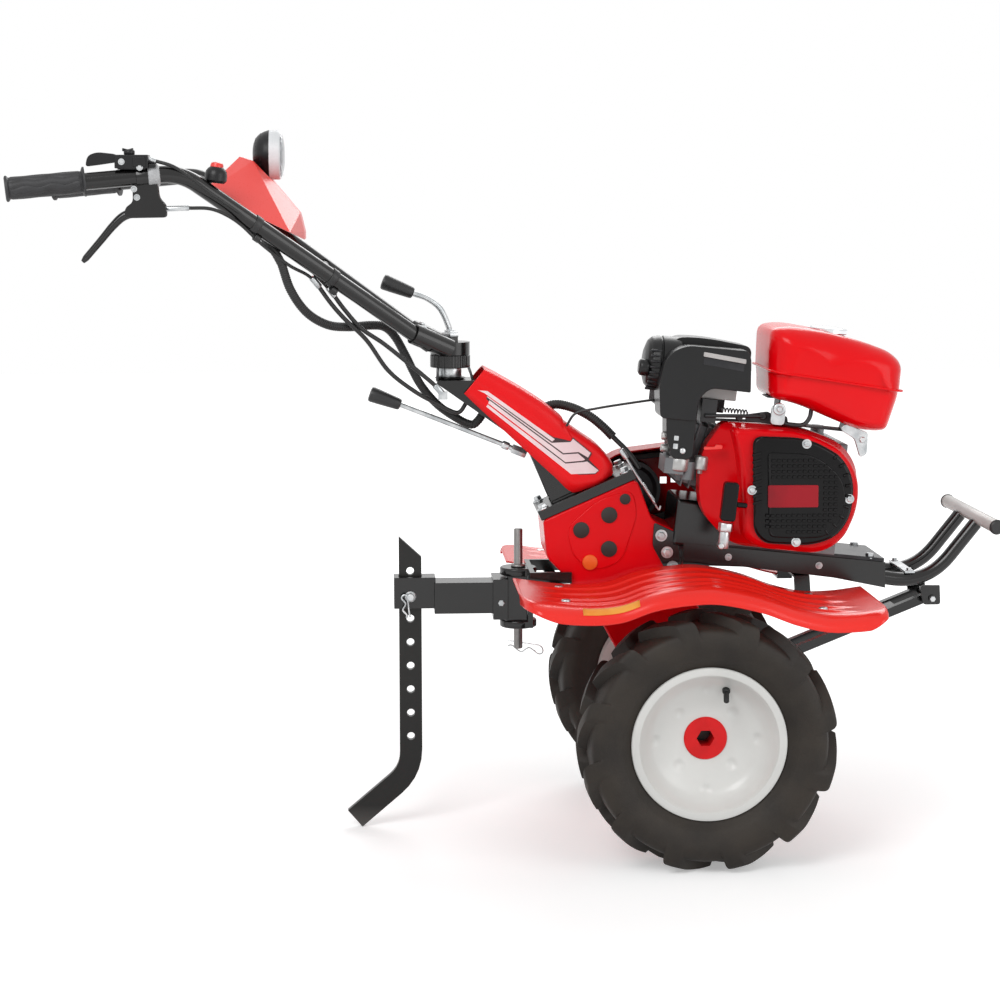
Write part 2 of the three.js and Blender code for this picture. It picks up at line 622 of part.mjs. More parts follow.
// ---------------------------------------------------------------- folding stand
const pivotBar = 6;
const standGroup = new THREE.Group();
standGroup.position.set(standPivotX, 0, standPivotZ);
standGroup.rotation.y = -rad(standAngle);
machine.add(standGroup);
const legs = [1, -1].map((side) => box([-standLength, 10], [side * standHalfSpan - standBar / 2,
  side * standHalfSpan + standBar / 2], [-standBar / 2, standBar / 2]));
piece('stand', cut(
  join(...legs, box([-standLength, -standLength + 26], [-standHalfSpan - 40, standHalfSpan + 40],
    [-standBar / 2, -standBar / 2 + 6]),
  box([-70, -54], [-standHalfSpan, standHalfSpan], [-standBar / 2 + 2, standBar / 2 - 2])),
  rod([0, -60, 0], [0, 60, 0], pivotBar + clearance, 24),
), blackPaint, standGroup);
const lugs = [1, -1].map((side) => plate(outline([
  [standPivotX - 14, standPivotZ - 10, 5], [standPivotX + 14, standPivotZ - 10, 5], [standPivotX + 12, 400],
  [standPivotX - 20, 400],
]), side * railHalfSpan - 3, side * railHalfSpan + 3));
const tubeClear = [1, -1].map((side) => bumperTube(side, bumperTubeRadius + clearance));
piece('stand_bracket', cut(join(...lugs,
  rod([standPivotX, -railHalfSpan - 6, standPivotZ], [standPivotX, railHalfSpan + 6, standPivotZ], pivotBar, 24),
), ...tubeClear), blackPaint);

// ---------------------------------------------------------------- fenders and their stays
const fenderLine = [
  [-282, 425], [-200, 415], [-139, 417], [-87, 434], [-37, 442], [11, 443], [73, 430], [125, 411], [173, 400],
  [221, 400], [269, 406],
];
const fenderCurve = new THREE.SplineCurve(fenderLine.map(([x, z]) => new THREE.Vector2(x, z)));
const fenderPoints = fenderCurve.getPoints(22);
function fenderStrip(depth) {
  const below = fenderPoints.map((p) => new THREE.Vector2(p.x, p.y - depth)).reverse();
  return new THREE.Shape([...fenderPoints, ...below]);
}
for (const [sideName, side] of [['left', 1], ['right', -1]]) {
  const [low, high] = side > 0 ? [fenderInnerY, fenderOuterY] : [-fenderOuterY, -fenderInnerY];
  const [lipLow, lipHigh] = side > 0 ? [high - fenderWall, high] : [low, low + fenderWall];
  piece(`fender_${sideName}`, join(
    plate(fenderStrip(fenderWall), low, high), plate(fenderStrip(fenderLip), lipLow, lipHigh),
  ), redPlastic);
}
// Strap across the machine in the YZ plane: raised between the rails, lowered under the fenders.
function strap(xLow, xHigh, middleZ, outerZ, thick) {
  const end = fenderOuterY - 30;
  const drop = fenderInnerY - 1;
  const flat = railOuter + 2;
  const profile = [
    [-end, outerZ], [-drop, outerZ], [-flat, middleZ], [flat, middleZ], [drop, outerZ], [end, outerZ],
    [end, outerZ - thick], [drop - thick, outerZ - thick], [flat - thick, middleZ - thick],
    [thick - flat, middleZ - thick], [thick - drop, outerZ - thick], [-end, outerZ - thick],
  ];
  const shape = new THREE.Shape(profile.map(([y, z]) => new THREE.Vector2(y, z)));
  const geometry = new THREE.ExtrudeGeometry(shape, { depth: xHigh - xLow, bevelEnabled: false });
  return geometry.rotateX(Math.PI / 2).rotateZ(Math.PI / 2).translate(xLow, 0, 0);
}
piece('fender_stay_front', strap(165, 190, 421.8, 395.6, 4), blackPaint);
piece('fender_stay_rear', box([-222, -204], [30 - fenderOuterY, fenderOuterY - 30], [408, 412]), blackPaint);

// ---------------------------------------------------------------- engine
const engine = new THREE.Group();
engine.position.set(engineX, 0, engineZ);
engine.rotation.y = rad(engineTilt);
machine.add(engine);

const fanDepth = 82;
const fanBack = engineNearFace + fanDepth;
piece('engine_mount_plate', box([-96, 172], [-railOuter, railOuter], [railLevel + clearance, crankcaseFloor - clearance]), zinc, engine);
piece('engine_block', join(
  box([-88, 86], [fanBack + clearance, engineFarFace], [crankcaseFloor, 70]),
  box([-170, -40], [-70, 62], [-50, 45]).rotateY(rad(12)),
  rod([-150, 20, 40], [-150, 20, 86], 14, 20),
  rod([0, engineFarFace - 2, 0], [0, engineFarFace + 52, 0], 10, 24),
), castAlloy, engine);

const fanShape = outline([
  [-120, 91, 14], [20, 93, 60], [99, 62, 40], [99, -58, 44], [66, -99, 40], [-84, -99, 20], [-112, -62, 16],
  [-150, -40, 20], [-152, 36, 24],
]);
const fanFront = outline([
  [-116, 87, 14], [20, 89, 60], [95, 60, 40], [95, -56, 44], [62, -95, 40], [-80, -95, 20], [-94, -50, 16],
]);
piece('fan_housing', join(
  plate(fanShape, engineNearFace + 30, fanBack), plate(fanFront, engineNearFace, engineNearFace + 31),
), redPaint, engine);

const recoilDepth = 14;
const recoilShape = outline([[-78, 84, 18], [20, 84, 60], [82, 50, 50], [82, -50, 50], [20, -84, 60], [-78, -84, 26]]);
piece('recoil_cover', plate(recoilShape, engineNearFace - recoilDepth, engineNearFace - clearance), blackPlastic, engine);
piece('recoil_handle', join(
  box([-119, -96], [engineNearFace - 24, engineNearFace - 6], [-55, 5]),
  box([-97, -78 - clearance], [engineNearFace - 18, engineNearFace - 8], [-33, -25]),
), blackPlastic, engine);

const filterNear = -150;
const filterFar = -38;
const filterShape = outline([
  [-228, 96, 6], [-228, 172, 20], [-203, 197, 14], [-176, 206, 20], [-100, 197, 10], [-97, 149, 4], [-160, 138, 6],
  [-160, 96, 4],
]);
piece('air_cleaner', join(
  plate(filterShape, filterNear, filterFar),
  plate(outline([[-213, 100], [-166, 100], [-166, 31, 4], [-198, 28, 4]]), filterNear + 4, filterNear + 52),
  rod([-249, -82, 160], [-200, -82, 160], 40, 24),
), greyPlastic, engine);
piece('carburettor', join(
  box([-206, -176], [filterNear + 8, -78], [4, 27.7]),
  rod([-167, -128, -4], [-167, -128, 24], 10, 20),
  box([-178, -166], [-134, -122], [8, 20]),
  box([-200, -160], [filterNear + 53, -70 - clearance], [18, 60]),
), castAlloy, engine);

const tankNear = -168;
const tankFar = 20;
const tankCorners = [
  [-90, 178, 20], [-88, 243, 30], [-12, 251, 30], [70, 245, 40], [128, 218, 30], [143, 196, 16], [143, 158, 10],
  [136, 110, 12], [70, 107, 20], [18, 116, 20], [-12, 132, 16], [-62, 142, 12],
];
// The tank's two pressed halves round off towards its flat sides.
const tankSide = tankCorners.map(([x, z, radius]) => [27 + 0.92 * (x - 27), 180 + 0.9 * (z - 180), radius]);
const tankRound = 26;
piece('fuel_tank', join(
  plate(outline(tankCorners), tankNear + tankRound, tankFar - tankRound), plate(outline(tankSide), tankNear, tankFar),
), redPaint, engine);
piece('fuel_cap', rod([34, -74, 248], [34.8, -74, 259], 31, 28), redPaint, engine);
piece('tank_cradle', join(
  box([-60, -36], [-150, -60], [133, 136.4]),
  box([-40, -36], [-150, -60], [94, 135]),
  box([-40, 74], [-150, -60], [92.8, 96]),
  box([70, 74], [-150, -60], [92.8, 105]),
  box([70, 108], [-150, -60], [103, 106.5]),
), zinc, engine);
piece('muffler', join(
  box([-210, -104], [-22, 62], [86 + clearance + 8, 172]),
  rod([-150, 20, 86 + clearance], [-150, 20, 100], 18, 20),
), castAlloy, engine);

// ---------------------------------------------------------------- belt drive behind its guard
function tangentOutline(x1, z1, r1, x2, z2, r2) {
  const gap = Math.hypot(x2 - x1, z2 - z1);
  const heading = Math.atan2(z2 - z1, x2 - x1);
  const lean = Math.acos((r1 - r2) / gap);
  const shape = new THREE.Shape();
  shape.absarc(x1, z1, r1, heading + lean, heading - lean + 2 * Math.PI, false);
  shape.absarc(x2, z2, r2, heading - lean, heading + lean, false);
  shape.closePath();
  return shape;
}
const guardNearY = engineFarFace + clearance;
const guardFarY = guardNearY + guardDepth;
const beltMiddle = (guardNearY + guardFarY) / 2 + 2;
const beltHalf = 9;
const pulleyWeb = 13;
const belt = (grow) => tangentOutline(gearPulleyX, gearPulleyZ, gearPulleyRadius + grow,
  engineX, engineZ, enginePulleyRadius + grow);
piece('drive_belt', cut(
  plate(belt(9), beltMiddle - beltHalf, beltMiddle + beltHalf, 10),
  plate(belt(clearance), beltMiddle - beltHalf - 2, beltMiddle + beltHalf + 2, 10),
), rubber);
piece('gearbox_pulley', cut(join(
  rod([gearPulleyX, beltMiddle - pulleyWeb, gearPulleyZ], [gearPulleyX, beltMiddle + pulleyWeb, gearPulleyZ],
    gearPulleyRadius, 40),
  rod([gearPulleyX, caseHalfWidth + clearance, gearPulleyZ], [gearPulleyX, beltMiddle, gearPulleyZ], 16, 24),
), rod([gearPulleyX, caseHalfWidth, gearPulleyZ], [gearPulleyX, caseHalfWidth + 0.1, gearPulleyZ], 17, 24)),
castAlloy);
piece('engine_pulley', cut(
  rod([engineX, beltMiddle - pulleyWeb, engineZ], [engineX, beltMiddle + pulleyWeb, engineZ],
    enginePulleyRadius, 40),
  rod([engineX, 0, engineZ], [engineX, 200, engineZ], 10 + clearance, 24),
), castAlloy);
const guardOuter = tangentOutline(gearPulleyX, gearPulleyZ, guardRearRadius, engineX, engineZ, guardFrontRadius);
const guardInner = tangentOutline(gearPulleyX, gearPulleyZ, guardRearRadius - guardWall,
  engineX, engineZ, guardFrontRadius - guardWall);
const slots = [0, 1, 2, 3, 4].map((i) => box([-23 + 18 * i, -12 + 18 * i], [guardNearY, guardFarY + 20],
  [544 + 1.5 * i, 555 + 1.5 * i]));
piece('belt_guard', cut(
  plate(guardOuter, guardNearY, guardFarY, 10),
  plate(guardInner, guardNearY - 1, guardFarY - guardWall, 10), ...slots,
), redPaint);

// ---------------------------------------------------------------- cables
// The stretch of a curve between two shares of its length.
function stretch(curve, from, to, count) {
  const steps = Array.from({ length: count + 1 }, (_, i) => from + (to - from) * i / count);
  return new THREE.CatmullRomCurve3(steps.map((t) => curve.getPointAt(t)));
}
// The loom hangs below the right handle tube, then enters the column's rear face.
const loom = cord([
  [-634, -132, 916], [-621, -122, 876], [-598, -108, 842], [-567, -88, 822], [-534, -64, 817], [-503, -42, 818],
  [-480, -28, 815], [-463, -19, 799], [-446, -12, 768], [-424, -6, 724], [-396, -2, 690], [-362, 0, 666],
  [-342, 0, 658], [-331.9, 0, 664.6], [-325.5, 0, 673.7],
]);
const loomSplit = 0.435;
piece('wiring_loom_upper', bentBar(stretch(loom, 0, loomSplit, 14), 7, 16, 8), rubber);
piece('wiring_loom_lower', bentBar(stretch(loom, loomSplit + 0.001, 1, 18), 7, 18, 8), rubber);
piece('clutch_cable', bentBar(cord([
  [-584, -106, 888], [-562, -96, 856], [-541, -85, 831], [-507, -66, 796], [-474, -48, 748], [-434, -36, 715],
  [-400, -26, 695], [-372, -18, 680], [-361, -16, 680.5], [-352.2, -16, 692.9],
]), 3.5, 18, 8), rubber);
piece('throttle_cable', bentBar(cord([
  [-560, -92, 872], [-541, -84, 845], [-515, -72, 815], [-480, -60, 790], [-440, -50, 757], [-408, -44, 730],
  [-396, -42, 718],
]), 3.5, 14, 8), rubber);
piece('engine_harness', bentBar(cord([
  [-224.6, 16, 692.3], [-222.4, 16, 696.4], [-212, 14, 701], [-196, 10, 696], [-160, 0, 673], [-122, -10, 642],
  [-84, -24, 597],
]), 5.5, 14, 8), rubber);

// ---------------------------------------------------------------- origin at the middle of the footprint
tractor.updateMatrixWorld(true);
const extent = new THREE.Box3().setFromObject(tractor, true);
tractor.position.x = -(extent.min.x + extent.max.x) / 2;

export default tractor;
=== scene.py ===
from math import acos, atan2, cos, pi, radians, sin, tan

import bmesh
import bpy
import numpy as np
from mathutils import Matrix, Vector


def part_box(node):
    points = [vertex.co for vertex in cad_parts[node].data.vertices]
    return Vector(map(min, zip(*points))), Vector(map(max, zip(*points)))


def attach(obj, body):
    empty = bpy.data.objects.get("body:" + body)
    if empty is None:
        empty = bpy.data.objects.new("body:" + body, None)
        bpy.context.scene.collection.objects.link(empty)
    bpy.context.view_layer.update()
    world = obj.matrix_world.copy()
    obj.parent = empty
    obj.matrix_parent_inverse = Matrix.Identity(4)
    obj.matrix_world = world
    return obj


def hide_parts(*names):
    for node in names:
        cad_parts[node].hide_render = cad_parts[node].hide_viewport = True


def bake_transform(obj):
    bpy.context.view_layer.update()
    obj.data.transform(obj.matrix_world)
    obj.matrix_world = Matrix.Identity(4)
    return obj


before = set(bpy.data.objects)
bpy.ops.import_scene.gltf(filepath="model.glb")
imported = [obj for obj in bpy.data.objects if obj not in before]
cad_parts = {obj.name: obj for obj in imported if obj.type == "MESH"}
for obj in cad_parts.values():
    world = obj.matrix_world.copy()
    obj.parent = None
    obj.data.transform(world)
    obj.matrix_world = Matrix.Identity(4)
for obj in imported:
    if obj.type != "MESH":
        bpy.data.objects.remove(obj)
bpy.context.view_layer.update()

# ---------------------------------------------------------------- the machine's own frame
# The tractor is drawn in millimetres, with X = 0 at the axle, Y to the left and Z up. The middle of
# the axle is at Z = 203 and the ground at Z = 6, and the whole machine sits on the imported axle.
axle_low, axle_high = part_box("axle")
AXLE_Z = 203
ORIGIN = np.array([(axle_low.x + axle_high.x) / 2, 0, (axle_low.z + axle_high.z) / 2 - AXLE_Z / 1000])


def in_frame(points):
    """Points of the machine in millimetres, as points of the shared frame in metres."""
    return np.asarray(points, float) / 1000 + ORIGIN


# ---------------------------------------------------------------- camera, floor and light
# A long lens from the right, about as high as the grips and looking slightly down and forward.
scene = bpy.context.scene
scene.view_settings.view_transform = "Standard"
camera = bpy.data.objects.new("camera", bpy.data.cameras.new("camera"))
camera.data.lens = 80
camera.data.sensor_width = 36
camera.location = (-0.24025, -3.5, 1.02012)
camera.rotation_euler = (radians(90 - 7.943), 0, radians(-3.571))
scene.collection.objects.link(camera)
scene.camera = camera


def feed(tree, node, inputs):
    """Gives a node's inputs, by name or number, a plain value or the output that drives them."""
    for key, value in inputs.items():
        if isinstance(value, bpy.types.NodeSocket):
            tree.links.new(value, node.inputs[key])
        else:
            node.inputs[key].default_value = value


def shader_node(tree, kind, inputs={}, **settings):
    """A new node of a kind, with its settings and its inputs."""
    node = tree.nodes.new("ShaderNode" + kind)
    for key, value in settings.items():
        setattr(node, key, value)
    feed(tree, node, inputs)
    return node


def new_material(name):
    """A material with its node tree and its shader."""
    made = bpy.data.materials.new(name)
    made.use_nodes = True
    return made, made.node_tree, made.node_tree.nodes["Principled BSDF"]


def seen_directly(tree):
    """1 for rays from the camera, mirrors and glass, 0 for the light that falls on the object."""
    path = shader_node(tree, "LightPath").outputs
    first = shader_node(tree, "Math", {0: path["Is Camera Ray"], 1: path["Is Glossy Ray"]},
                        operation="MAXIMUM")
    both = shader_node(tree, "Math", {0: first.outputs[0], 1: path["Is Transmission Ray"]},
                       operation="MAXIMUM")
    return both.outputs[0]


world = bpy.data.worlds.new("studio")
world.use_nodes = True
scene.world = world
level = shader_node(world.node_tree, "MapRange", {"To Min": 0.42, "To Max": 1.0,
                                                  "Value": seen_directly(world.node_tree)})
feed(world.node_tree, world.node_tree.nodes["Background"], {"Color": (1, 1, 1, 1),
                                                            "Strength": level.outputs["Result"]})


def soft_lamp(name, place, target, size, power):
    """A square area lamp that faces a target point."""
    lamp = bpy.data.objects.new(name, bpy.data.lights.new(name, "AREA"))
    lamp.data.size = size
    lamp.data.energy = power
    lamp.location = place
    lamp.rotation_euler = (Vector(target) - Vector(place)).to_track_quat("-Z", "Y").to_euler()
    scene.collection.objects.link(lamp)


soft_lamp("key_lamp", (-1.6, -2.6, 2.9), (0, 0, 0.5), 1.8, 62)
soft_lamp("fill_lamp", (2.4, -2.2, 1.4), (0, 0, 0.45), 2.0, 26)
soft_lamp("rim_lamp", (0.6, 2.6, 2.6), (0, 0, 0.5), 2.0, 45)

FLOOR_HALF = 9.0
floor_mesh = bpy.data.meshes.new("floor")
floor_mesh.from_pydata([(x * FLOOR_HALF, y * FLOOR_HALF, 0) for x, y in ((-1, -1), (1, -1), (1, 1), (-1, 1))],
                       [], [(0, 1, 2, 3)])
floor = bpy.data.objects.new("floor", floor_mesh)
scene.collection.objects.link(floor)
# Light of its own brings the floor up to white, more so far out; the object's shadow still
# darkens its paint.
floor_paint, tree, paint = new_material("floor_paint")
feed(tree, paint, {"Base Color": (0.86, 0.86, 0.86, 1), "Roughness": 0.9, "Specular IOR Level": 0.1})
place = shader_node(tree, "TexCoord").outputs["Object"]
far = shader_node(tree, "VectorMath", {0: place}, operation="LENGTH").outputs["Value"]
far_glow = shader_node(tree, "MapRange", {"From Min": 0.5, "From Max": 4.0, "To Min": 0.34, "To Max": 0.85,
                                          "Value": far}).outputs["Result"]
strength = shader_node(tree, "Math", {0: seen_directly(tree), 1: far_glow}, operation="MULTIPLY").outputs[0]
glow = shader_node(tree, "Emission", {"Strength": strength}).outputs[0]
both = shader_node(tree, "AddShader", {0: paint.outputs[0], 1: glow})
feed(tree, tree.nodes["Material Output"], {"Surface": both.outputs[0]})
floor_mesh.materials.append(floor_paint)

# ---------------------------------------------------------------- tyres
# 4.00-8 drive tyres of carbon-black rubber: one moulded carcass with bars in chevrons, twelve to
# a side, that run from the middle of the tread over the shoulder and fade out on the sidewall.


def linear(code):
    """A #rrggbb colour as linear light with an alpha of 1."""
    share = np.array([int(code[i:i + 2], 16) for i in (1, 3, 5)]) / 255
    light = np.where(share <= 0.04045, share / 12.92, ((share + 0.055) / 1.055) ** 2.4)
    return (*light.tolist(), 1.0)


def finish(name, colour, shade, roughness, patch=9, grain=500, relief=0.12, spread=0.08,
           metallic=0.0, coat=0.0, bump_depth=0.0004, specular=0.5):
    """A finish whose colour drifts from `colour` to `shade` in cloudy patches, while a fine grain
    moves the roughness by `spread` and lifts the surface by `relief` of the bump's depth."""
    made, tree, shader = new_material(name)
    place = shader_node(tree, "TexCoord").outputs["Object"]
    clouds = shader_node(tree, "TexNoise", {"Scale": patch, "Detail": 5, "Vector": place})
    ramp = shader_node(tree, "ValToRGB", {"Fac": clouds.outputs["Fac"]}, name="colours")
    for stop, at, code in zip(ramp.color_ramp.elements, (0.35, 0.6), (shade, colour)):
        stop.position = at
        stop.color = linear(code)
    speckle = shader_node(tree, "TexNoise", {"Scale": grain, "Detail": 3, "Vector": place}).outputs["Fac"]
    gloss = shader_node(tree, "MapRange", {"To Min": max(roughness - spread, 0.03),
                                           "To Max": roughness + spread, "Value": speckle})
    bump = shader_node(tree, "Bump", {"Strength": relief, "Distance": bump_depth, "Height": speckle})
    feed(tree, shader, {
        "Base Color": ramp.outputs["Color"], "Roughness": gloss.outputs["Result"], "Metallic": metallic,
        "Coat Weight": coat, "Coat Roughness": 0.08, "Specular IOR Level": specular,
        "Normal": bump.outputs["Normal"],
    })
    return made


def piece_of(name, points, faces, material, body, replaces, bevel, segments, sharp, merge, flatten=0):
    """One piece from points in metres. Those nearer than `merge` become one, faces less than
    `flatten` degrees apart are joined, and all are turned outward. Edges over `sharp` degrees are
    kept and, with a bevel in mm, rounded."""
    mesh = bpy.data.meshes.new(name)
    mesh.from_pydata(points.tolist(), [], faces)
    work = bmesh.new()
    work.from_mesh(mesh)
    bmesh.ops.remove_doubles(work, verts=work.verts, dist=merge)
    if flatten:
        bmesh.ops.dissolve_limit(work, angle_limit=radians(flatten), verts=work.verts, edges=work.edges)
    bmesh.ops.recalc_face_normals(work, faces=work.faces)
    work.to_mesh(mesh)
    work.free()
    mesh.shade_smooth()
    mesh.set_sharp_from_angle(angle=radians(sharp))
    mesh.materials.append(material)
    piece = bpy.data.objects.new(name, mesh)
    scene.collection.objects.link(piece)
    if bevel:
        rounding = piece.modifiers.new("rounding", "BEVEL")
        rounding.width = bevel / 1000
        rounding.segments = segments
        rounding.limit_method = "ANGLE"
        rounding.angle_limit = radians(sharp)
        rounding.harden_normals = True
    if body:
        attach(piece, body)
    if replaces:
        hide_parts(*replaces)
    return piece


def make(name, shapes, material, body, replaces=(), bevel=0.0, segments=2, sharp=32):
    """One piece from (points, faces) shapes in the machine's millimetres."""
    points = np.concatenate([in_frame(p) for p, _ in shapes])
    starts = np.cumsum([0] + [len(p) for p, _ in shapes])
    faces = [[i + start for i in face] for start, (_, fs) in zip(starts.tolist(), shapes) for face in fs]
    return piece_of(name, points, faces, material, body, replaces, bevel, segments, sharp, 1e-6)


def grid_faces(rows, columns, wrap_rows=False, wrap_columns=False):
    """Quads between neighbours of a grid whose points are numbered row by row."""
    r = np.arange(rows if wrap_rows else rows - 1)[:, None]
    c = np.arange(columns if wrap_columns else columns - 1)[None, :]
    down, right = (r + 1) % rows, (c + 1) % columns
    quads = np.stack([r * columns + c, r * columns + right, down * columns + right, down * columns + c], -1)
    return quads.reshape(-1, 4).tolist()


def capped(rows, columns):
    """The faces of a tube of closed rows, with a flat cap on its first and its last row."""
    caps = [list(range(columns)), list(range((rows - 1) * columns, rows * columns))]
    return grid_faces(rows, columns, False, True) + caps


def smooth_line(points, count):
    """A Catmull-Rom curve through the points: on each stretch a cubic whose slope at a point is
    half the way from the point before it to the point after it."""
    p = np.asarray(points, float)
    p = np.concatenate([[2 * p[0] - p[1]], p, [2 * p[-1] - p[-2]]])
    along = np.linspace(0, len(points) - 1, count)
    i = np.minimum(along.astype(int), len(points) - 2)
    t = (along - i)[:, None]
    a, b, c, d = p[i], p[i + 1], p[i + 2], p[i + 3]
    return 0.5 * (2 * b + (c - a) * t + (2 * a - 5 * b + 4 * c - d) * t**2 + (3 * b - a - 3 * c + d) * t**3)


def smooth_step(x, low, high):
    """0 below low and 1 above high, with an S-shaped rise between them."""
    t = np.clip((x - low) / (high - low), 0, 1)
    return t * t * (3 - 2 * t)


def round_turn(steps):
    """Angles of a full turn in even steps."""
    return np.linspace(0, 2 * pi, steps, endpoint=False)


tyre_rubber = finish("tyre_rubber", "#2e2822", "#201b17", 0.62, patch=14, grain=420, relief=0.3,
                     spread=0.1, bump_depth=0.0008, specular=0.35)
TRACK = 245
TYRE_RADIUS = 197
SHOULDER = 53
BARS = 12
BAR_DEPTH = 15
bar_slant = radians(19)
bar_half = radians(4.1)
# Columns of the tyre's grid within half a pitch: close together on the flanks of a bar.
BAR_STEPS = np.radians([-6.4, -5.1, -4.75, -4.4, -4.1, -2.8, -1.2, 1.2, 2.8, 4.1, 4.4, 4.75, 5.1, 6.4])
SIDES = (("left", 1), ("right", -1))


def tyre_shape(middle_y):
    """A ring: the section is a smooth line from bead to bead with its cavity behind it, turned
    about the axle. The grid's columns lean by the slant times the share of the way from the middle
    to the shoulder. A bar stands on the columns near a multiple of the pitch, and on the far side
    of the middle near half a pitch on."""
    outer = smooth_line([
        (104, -33), (119, -34), (134, -46), (152, -53), (166, -53), (177, -46), (181, -24), (182, 0),
        (181, 24), (177, 46), (166, 53), (152, 53), (134, 46), (119, 34), (104, 33),
    ], 110)
    inner = smooth_line([(104, 22), (130, 38), (160, 44), (172, 0), (160, -44), (130, -38), (104, -22)], 24)
    pitch = 2 * pi / BARS
    column = (np.arange(2 * BARS)[:, None] * pitch / 2 + BAR_STEPS).reshape(-1, 1)
    r, y = outer[:, 0][None, :], outer[:, 1][None, :]
    off = np.abs((column + np.where(y > 0, pitch / 2, 0) + pitch / 2) % pitch - pitch / 2)
    on_bar = 1 - smooth_step(off, bar_half, bar_half + radians(1.0))
    height = BAR_DEPTH * on_bar * (smooth_step(r, 153, 174) * smooth_step(np.abs(y), 0.0, 3.0))
    outer_r = np.minimum(r + height * (0.4 + 0.6 * smooth_step(r, 168, 178)), TYRE_RADIUS - 0.2)
    outer_y = y * (1 + 0.02 * on_bar * smooth_step(r, 150, 170))
    inner_r = np.broadcast_to(inner[:, 0], (len(column), len(inner)))
    inner_y = np.broadcast_to(inner[:, 1], (len(column), len(inner)))
    radius = np.concatenate([outer_r, inner_r], 1)
    across = np.concatenate([outer_y, inner_y], 1)
    angle = column + bar_slant * np.abs(across) / SHOULDER
    points = np.stack([radius * np.sin(angle), middle_y + across, AXLE_Z + radius * np.cos(angle)], -1)
    return points.reshape(-1, 3), grid_faces(points.shape[0], points.shape[1], True, True)


for side_name, side in SIDES:
    make(f"tyre_moulding_{side_name}", [tyre_shape(side * TRACK)], tyre_rubber, "axle_wheels",
         [f"tyre_{side_name}"], sharp=28)


def fan_poles(points, faces):
    """The same shape with each quad that has doubled points at a pole kept as a triangle."""
    _, first, same = np.unique(np.round(points, 5), axis=0, return_index=True, return_inverse=True)
    home = first[same.ravel()].tolist()
    slim = [list(dict.fromkeys(home[i] for i in face)) for face in faces]
    return points, [kept for kept in slim if len(kept) > 2]


def turned(profile, centre, axis="y", sides=64):
    """A profile of (radius, along) turned about an axis through the centre. Both ends lie on the
    axis, where the doubled points merge into one, or the profile runs back to its start."""
    profile = np.asarray(profile, float)
    angle = round_turn(sides)[:, None]
    r = np.broadcast_to(profile[:, 0], (sides, len(profile)))
    along = np.broadcast_to(profile[:, 1], (sides, len(profile)))
    ring = {"x": (along, r * np.cos(angle), r * np.sin(angle)),
            "y": (r * np.cos(angle), along, r * np.sin(angle)),
            "z": (r * np.cos(angle), r * np.sin(angle), along)}[axis]
    points = (np.stack(ring, -1) + np.asarray(centre, float)).reshape(-1, 3)
    faces = grid_faces(sides, len(profile), True, False)
    return (points, faces) if np.allclose(profile[0], profile[-1]) else fan_poles(points, faces)


# ---------------------------------------------------------------- rims, hubs and axle
# Pressed steel discs in pale grey enamel, dished deep with eight shallow dimples, a black rubber
# valve, a red hub flange on each side and a dark hexagonal axle inside the hub's tube.
rim_enamel = finish("rim_enamel", "#dcdcd9", "#d2d2cf", 0.38, patch=7, grain=300, relief=0.06, coat=0.25)
hub_enamel = finish("hub_enamel", "#dc1216", "#c80c10", 0.36, patch=20, grain=380, relief=0.1, specular=0.3)
oiled_steel = finish("oiled_steel", "#3b3a39", "#232221", 0.42, patch=30, relief=0.15, metallic=0.8)
valve_rubber = finish("valve_rubber", "#151515", "#0d0d0d", 0.6, patch=30, grain=600)
RIM_HALF = 38
DISH = 40.7
DISC_STEPS, RIM_SIDES = 64, 160
DIMPLE_RADIUS, DIMPLE_DEPTH = 11, 3.2


def rim_shape(middle_y, side):
    """The rim's barrel and dished disc turned about the axle. The disc's face sinks by the depth
    of each dimple, which falls off as the square of the cosine of the distance from its middle."""
    face = RIM_HALF - DISH
    profile = smooth_line([(19.5, face - 4.3), (37, face - 4.3), (50, face - 3), (66, face + 1.5),
                           (82, face + 8), (92, face + 17), (99, face + 27), (104, RIM_HALF - 4)], DISC_STEPS)
    profile = np.concatenate([profile, [
        (106, RIM_HALF - 1), (113, RIM_HALF), (117, RIM_HALF - 0.8), (118, RIM_HALF - 3), (116, RIM_HALF - 4),
        (103.7, RIM_HALF - 4), (103.7, 4 - RIM_HALF), (116, 4 - RIM_HALF), (118, 3 - RIM_HALF),
        (114, -RIM_HALF), (101, 5 - RIM_HALF), (100.7, face - 6), (90, face + 1), (66, face - 3.6),
        (50, face - 7), (37, face - 8.3), (19.5, face - 8.3), (19.5, face - 4.3)]])
    angle = round_turn(RIM_SIDES)[:, None]
    r = np.broadcast_to(profile[:, 0], (RIM_SIDES, len(profile))).copy()
    y = np.broadcast_to(profile[:, 1], (RIM_SIDES, len(profile))).copy()
    x, z = r * np.cos(angle), r * np.sin(angle)
    on_disc = (np.arange(len(profile)) < DISC_STEPS)[None, :]
    for ring_radius, turn in ((78, 0), (57, pi / 4)):
        for quarter in range(4):
            heading = turn + quarter * pi / 2
            far = np.hypot(x - ring_radius * cos(heading), z - ring_radius * sin(heading))
            hollow = np.cos(np.minimum(far, DIMPLE_RADIUS) / DIMPLE_RADIUS * pi / 2) ** 2
            y -= np.where(on_disc & (far < DIMPLE_RADIUS), DIMPLE_DEPTH * hollow, 0)
    points = np.stack([x, middle_y + side * y, AXLE_Z + z], -1).reshape(-1, 3)
    return points, grid_faces(RIM_SIDES, len(profile), True, False)


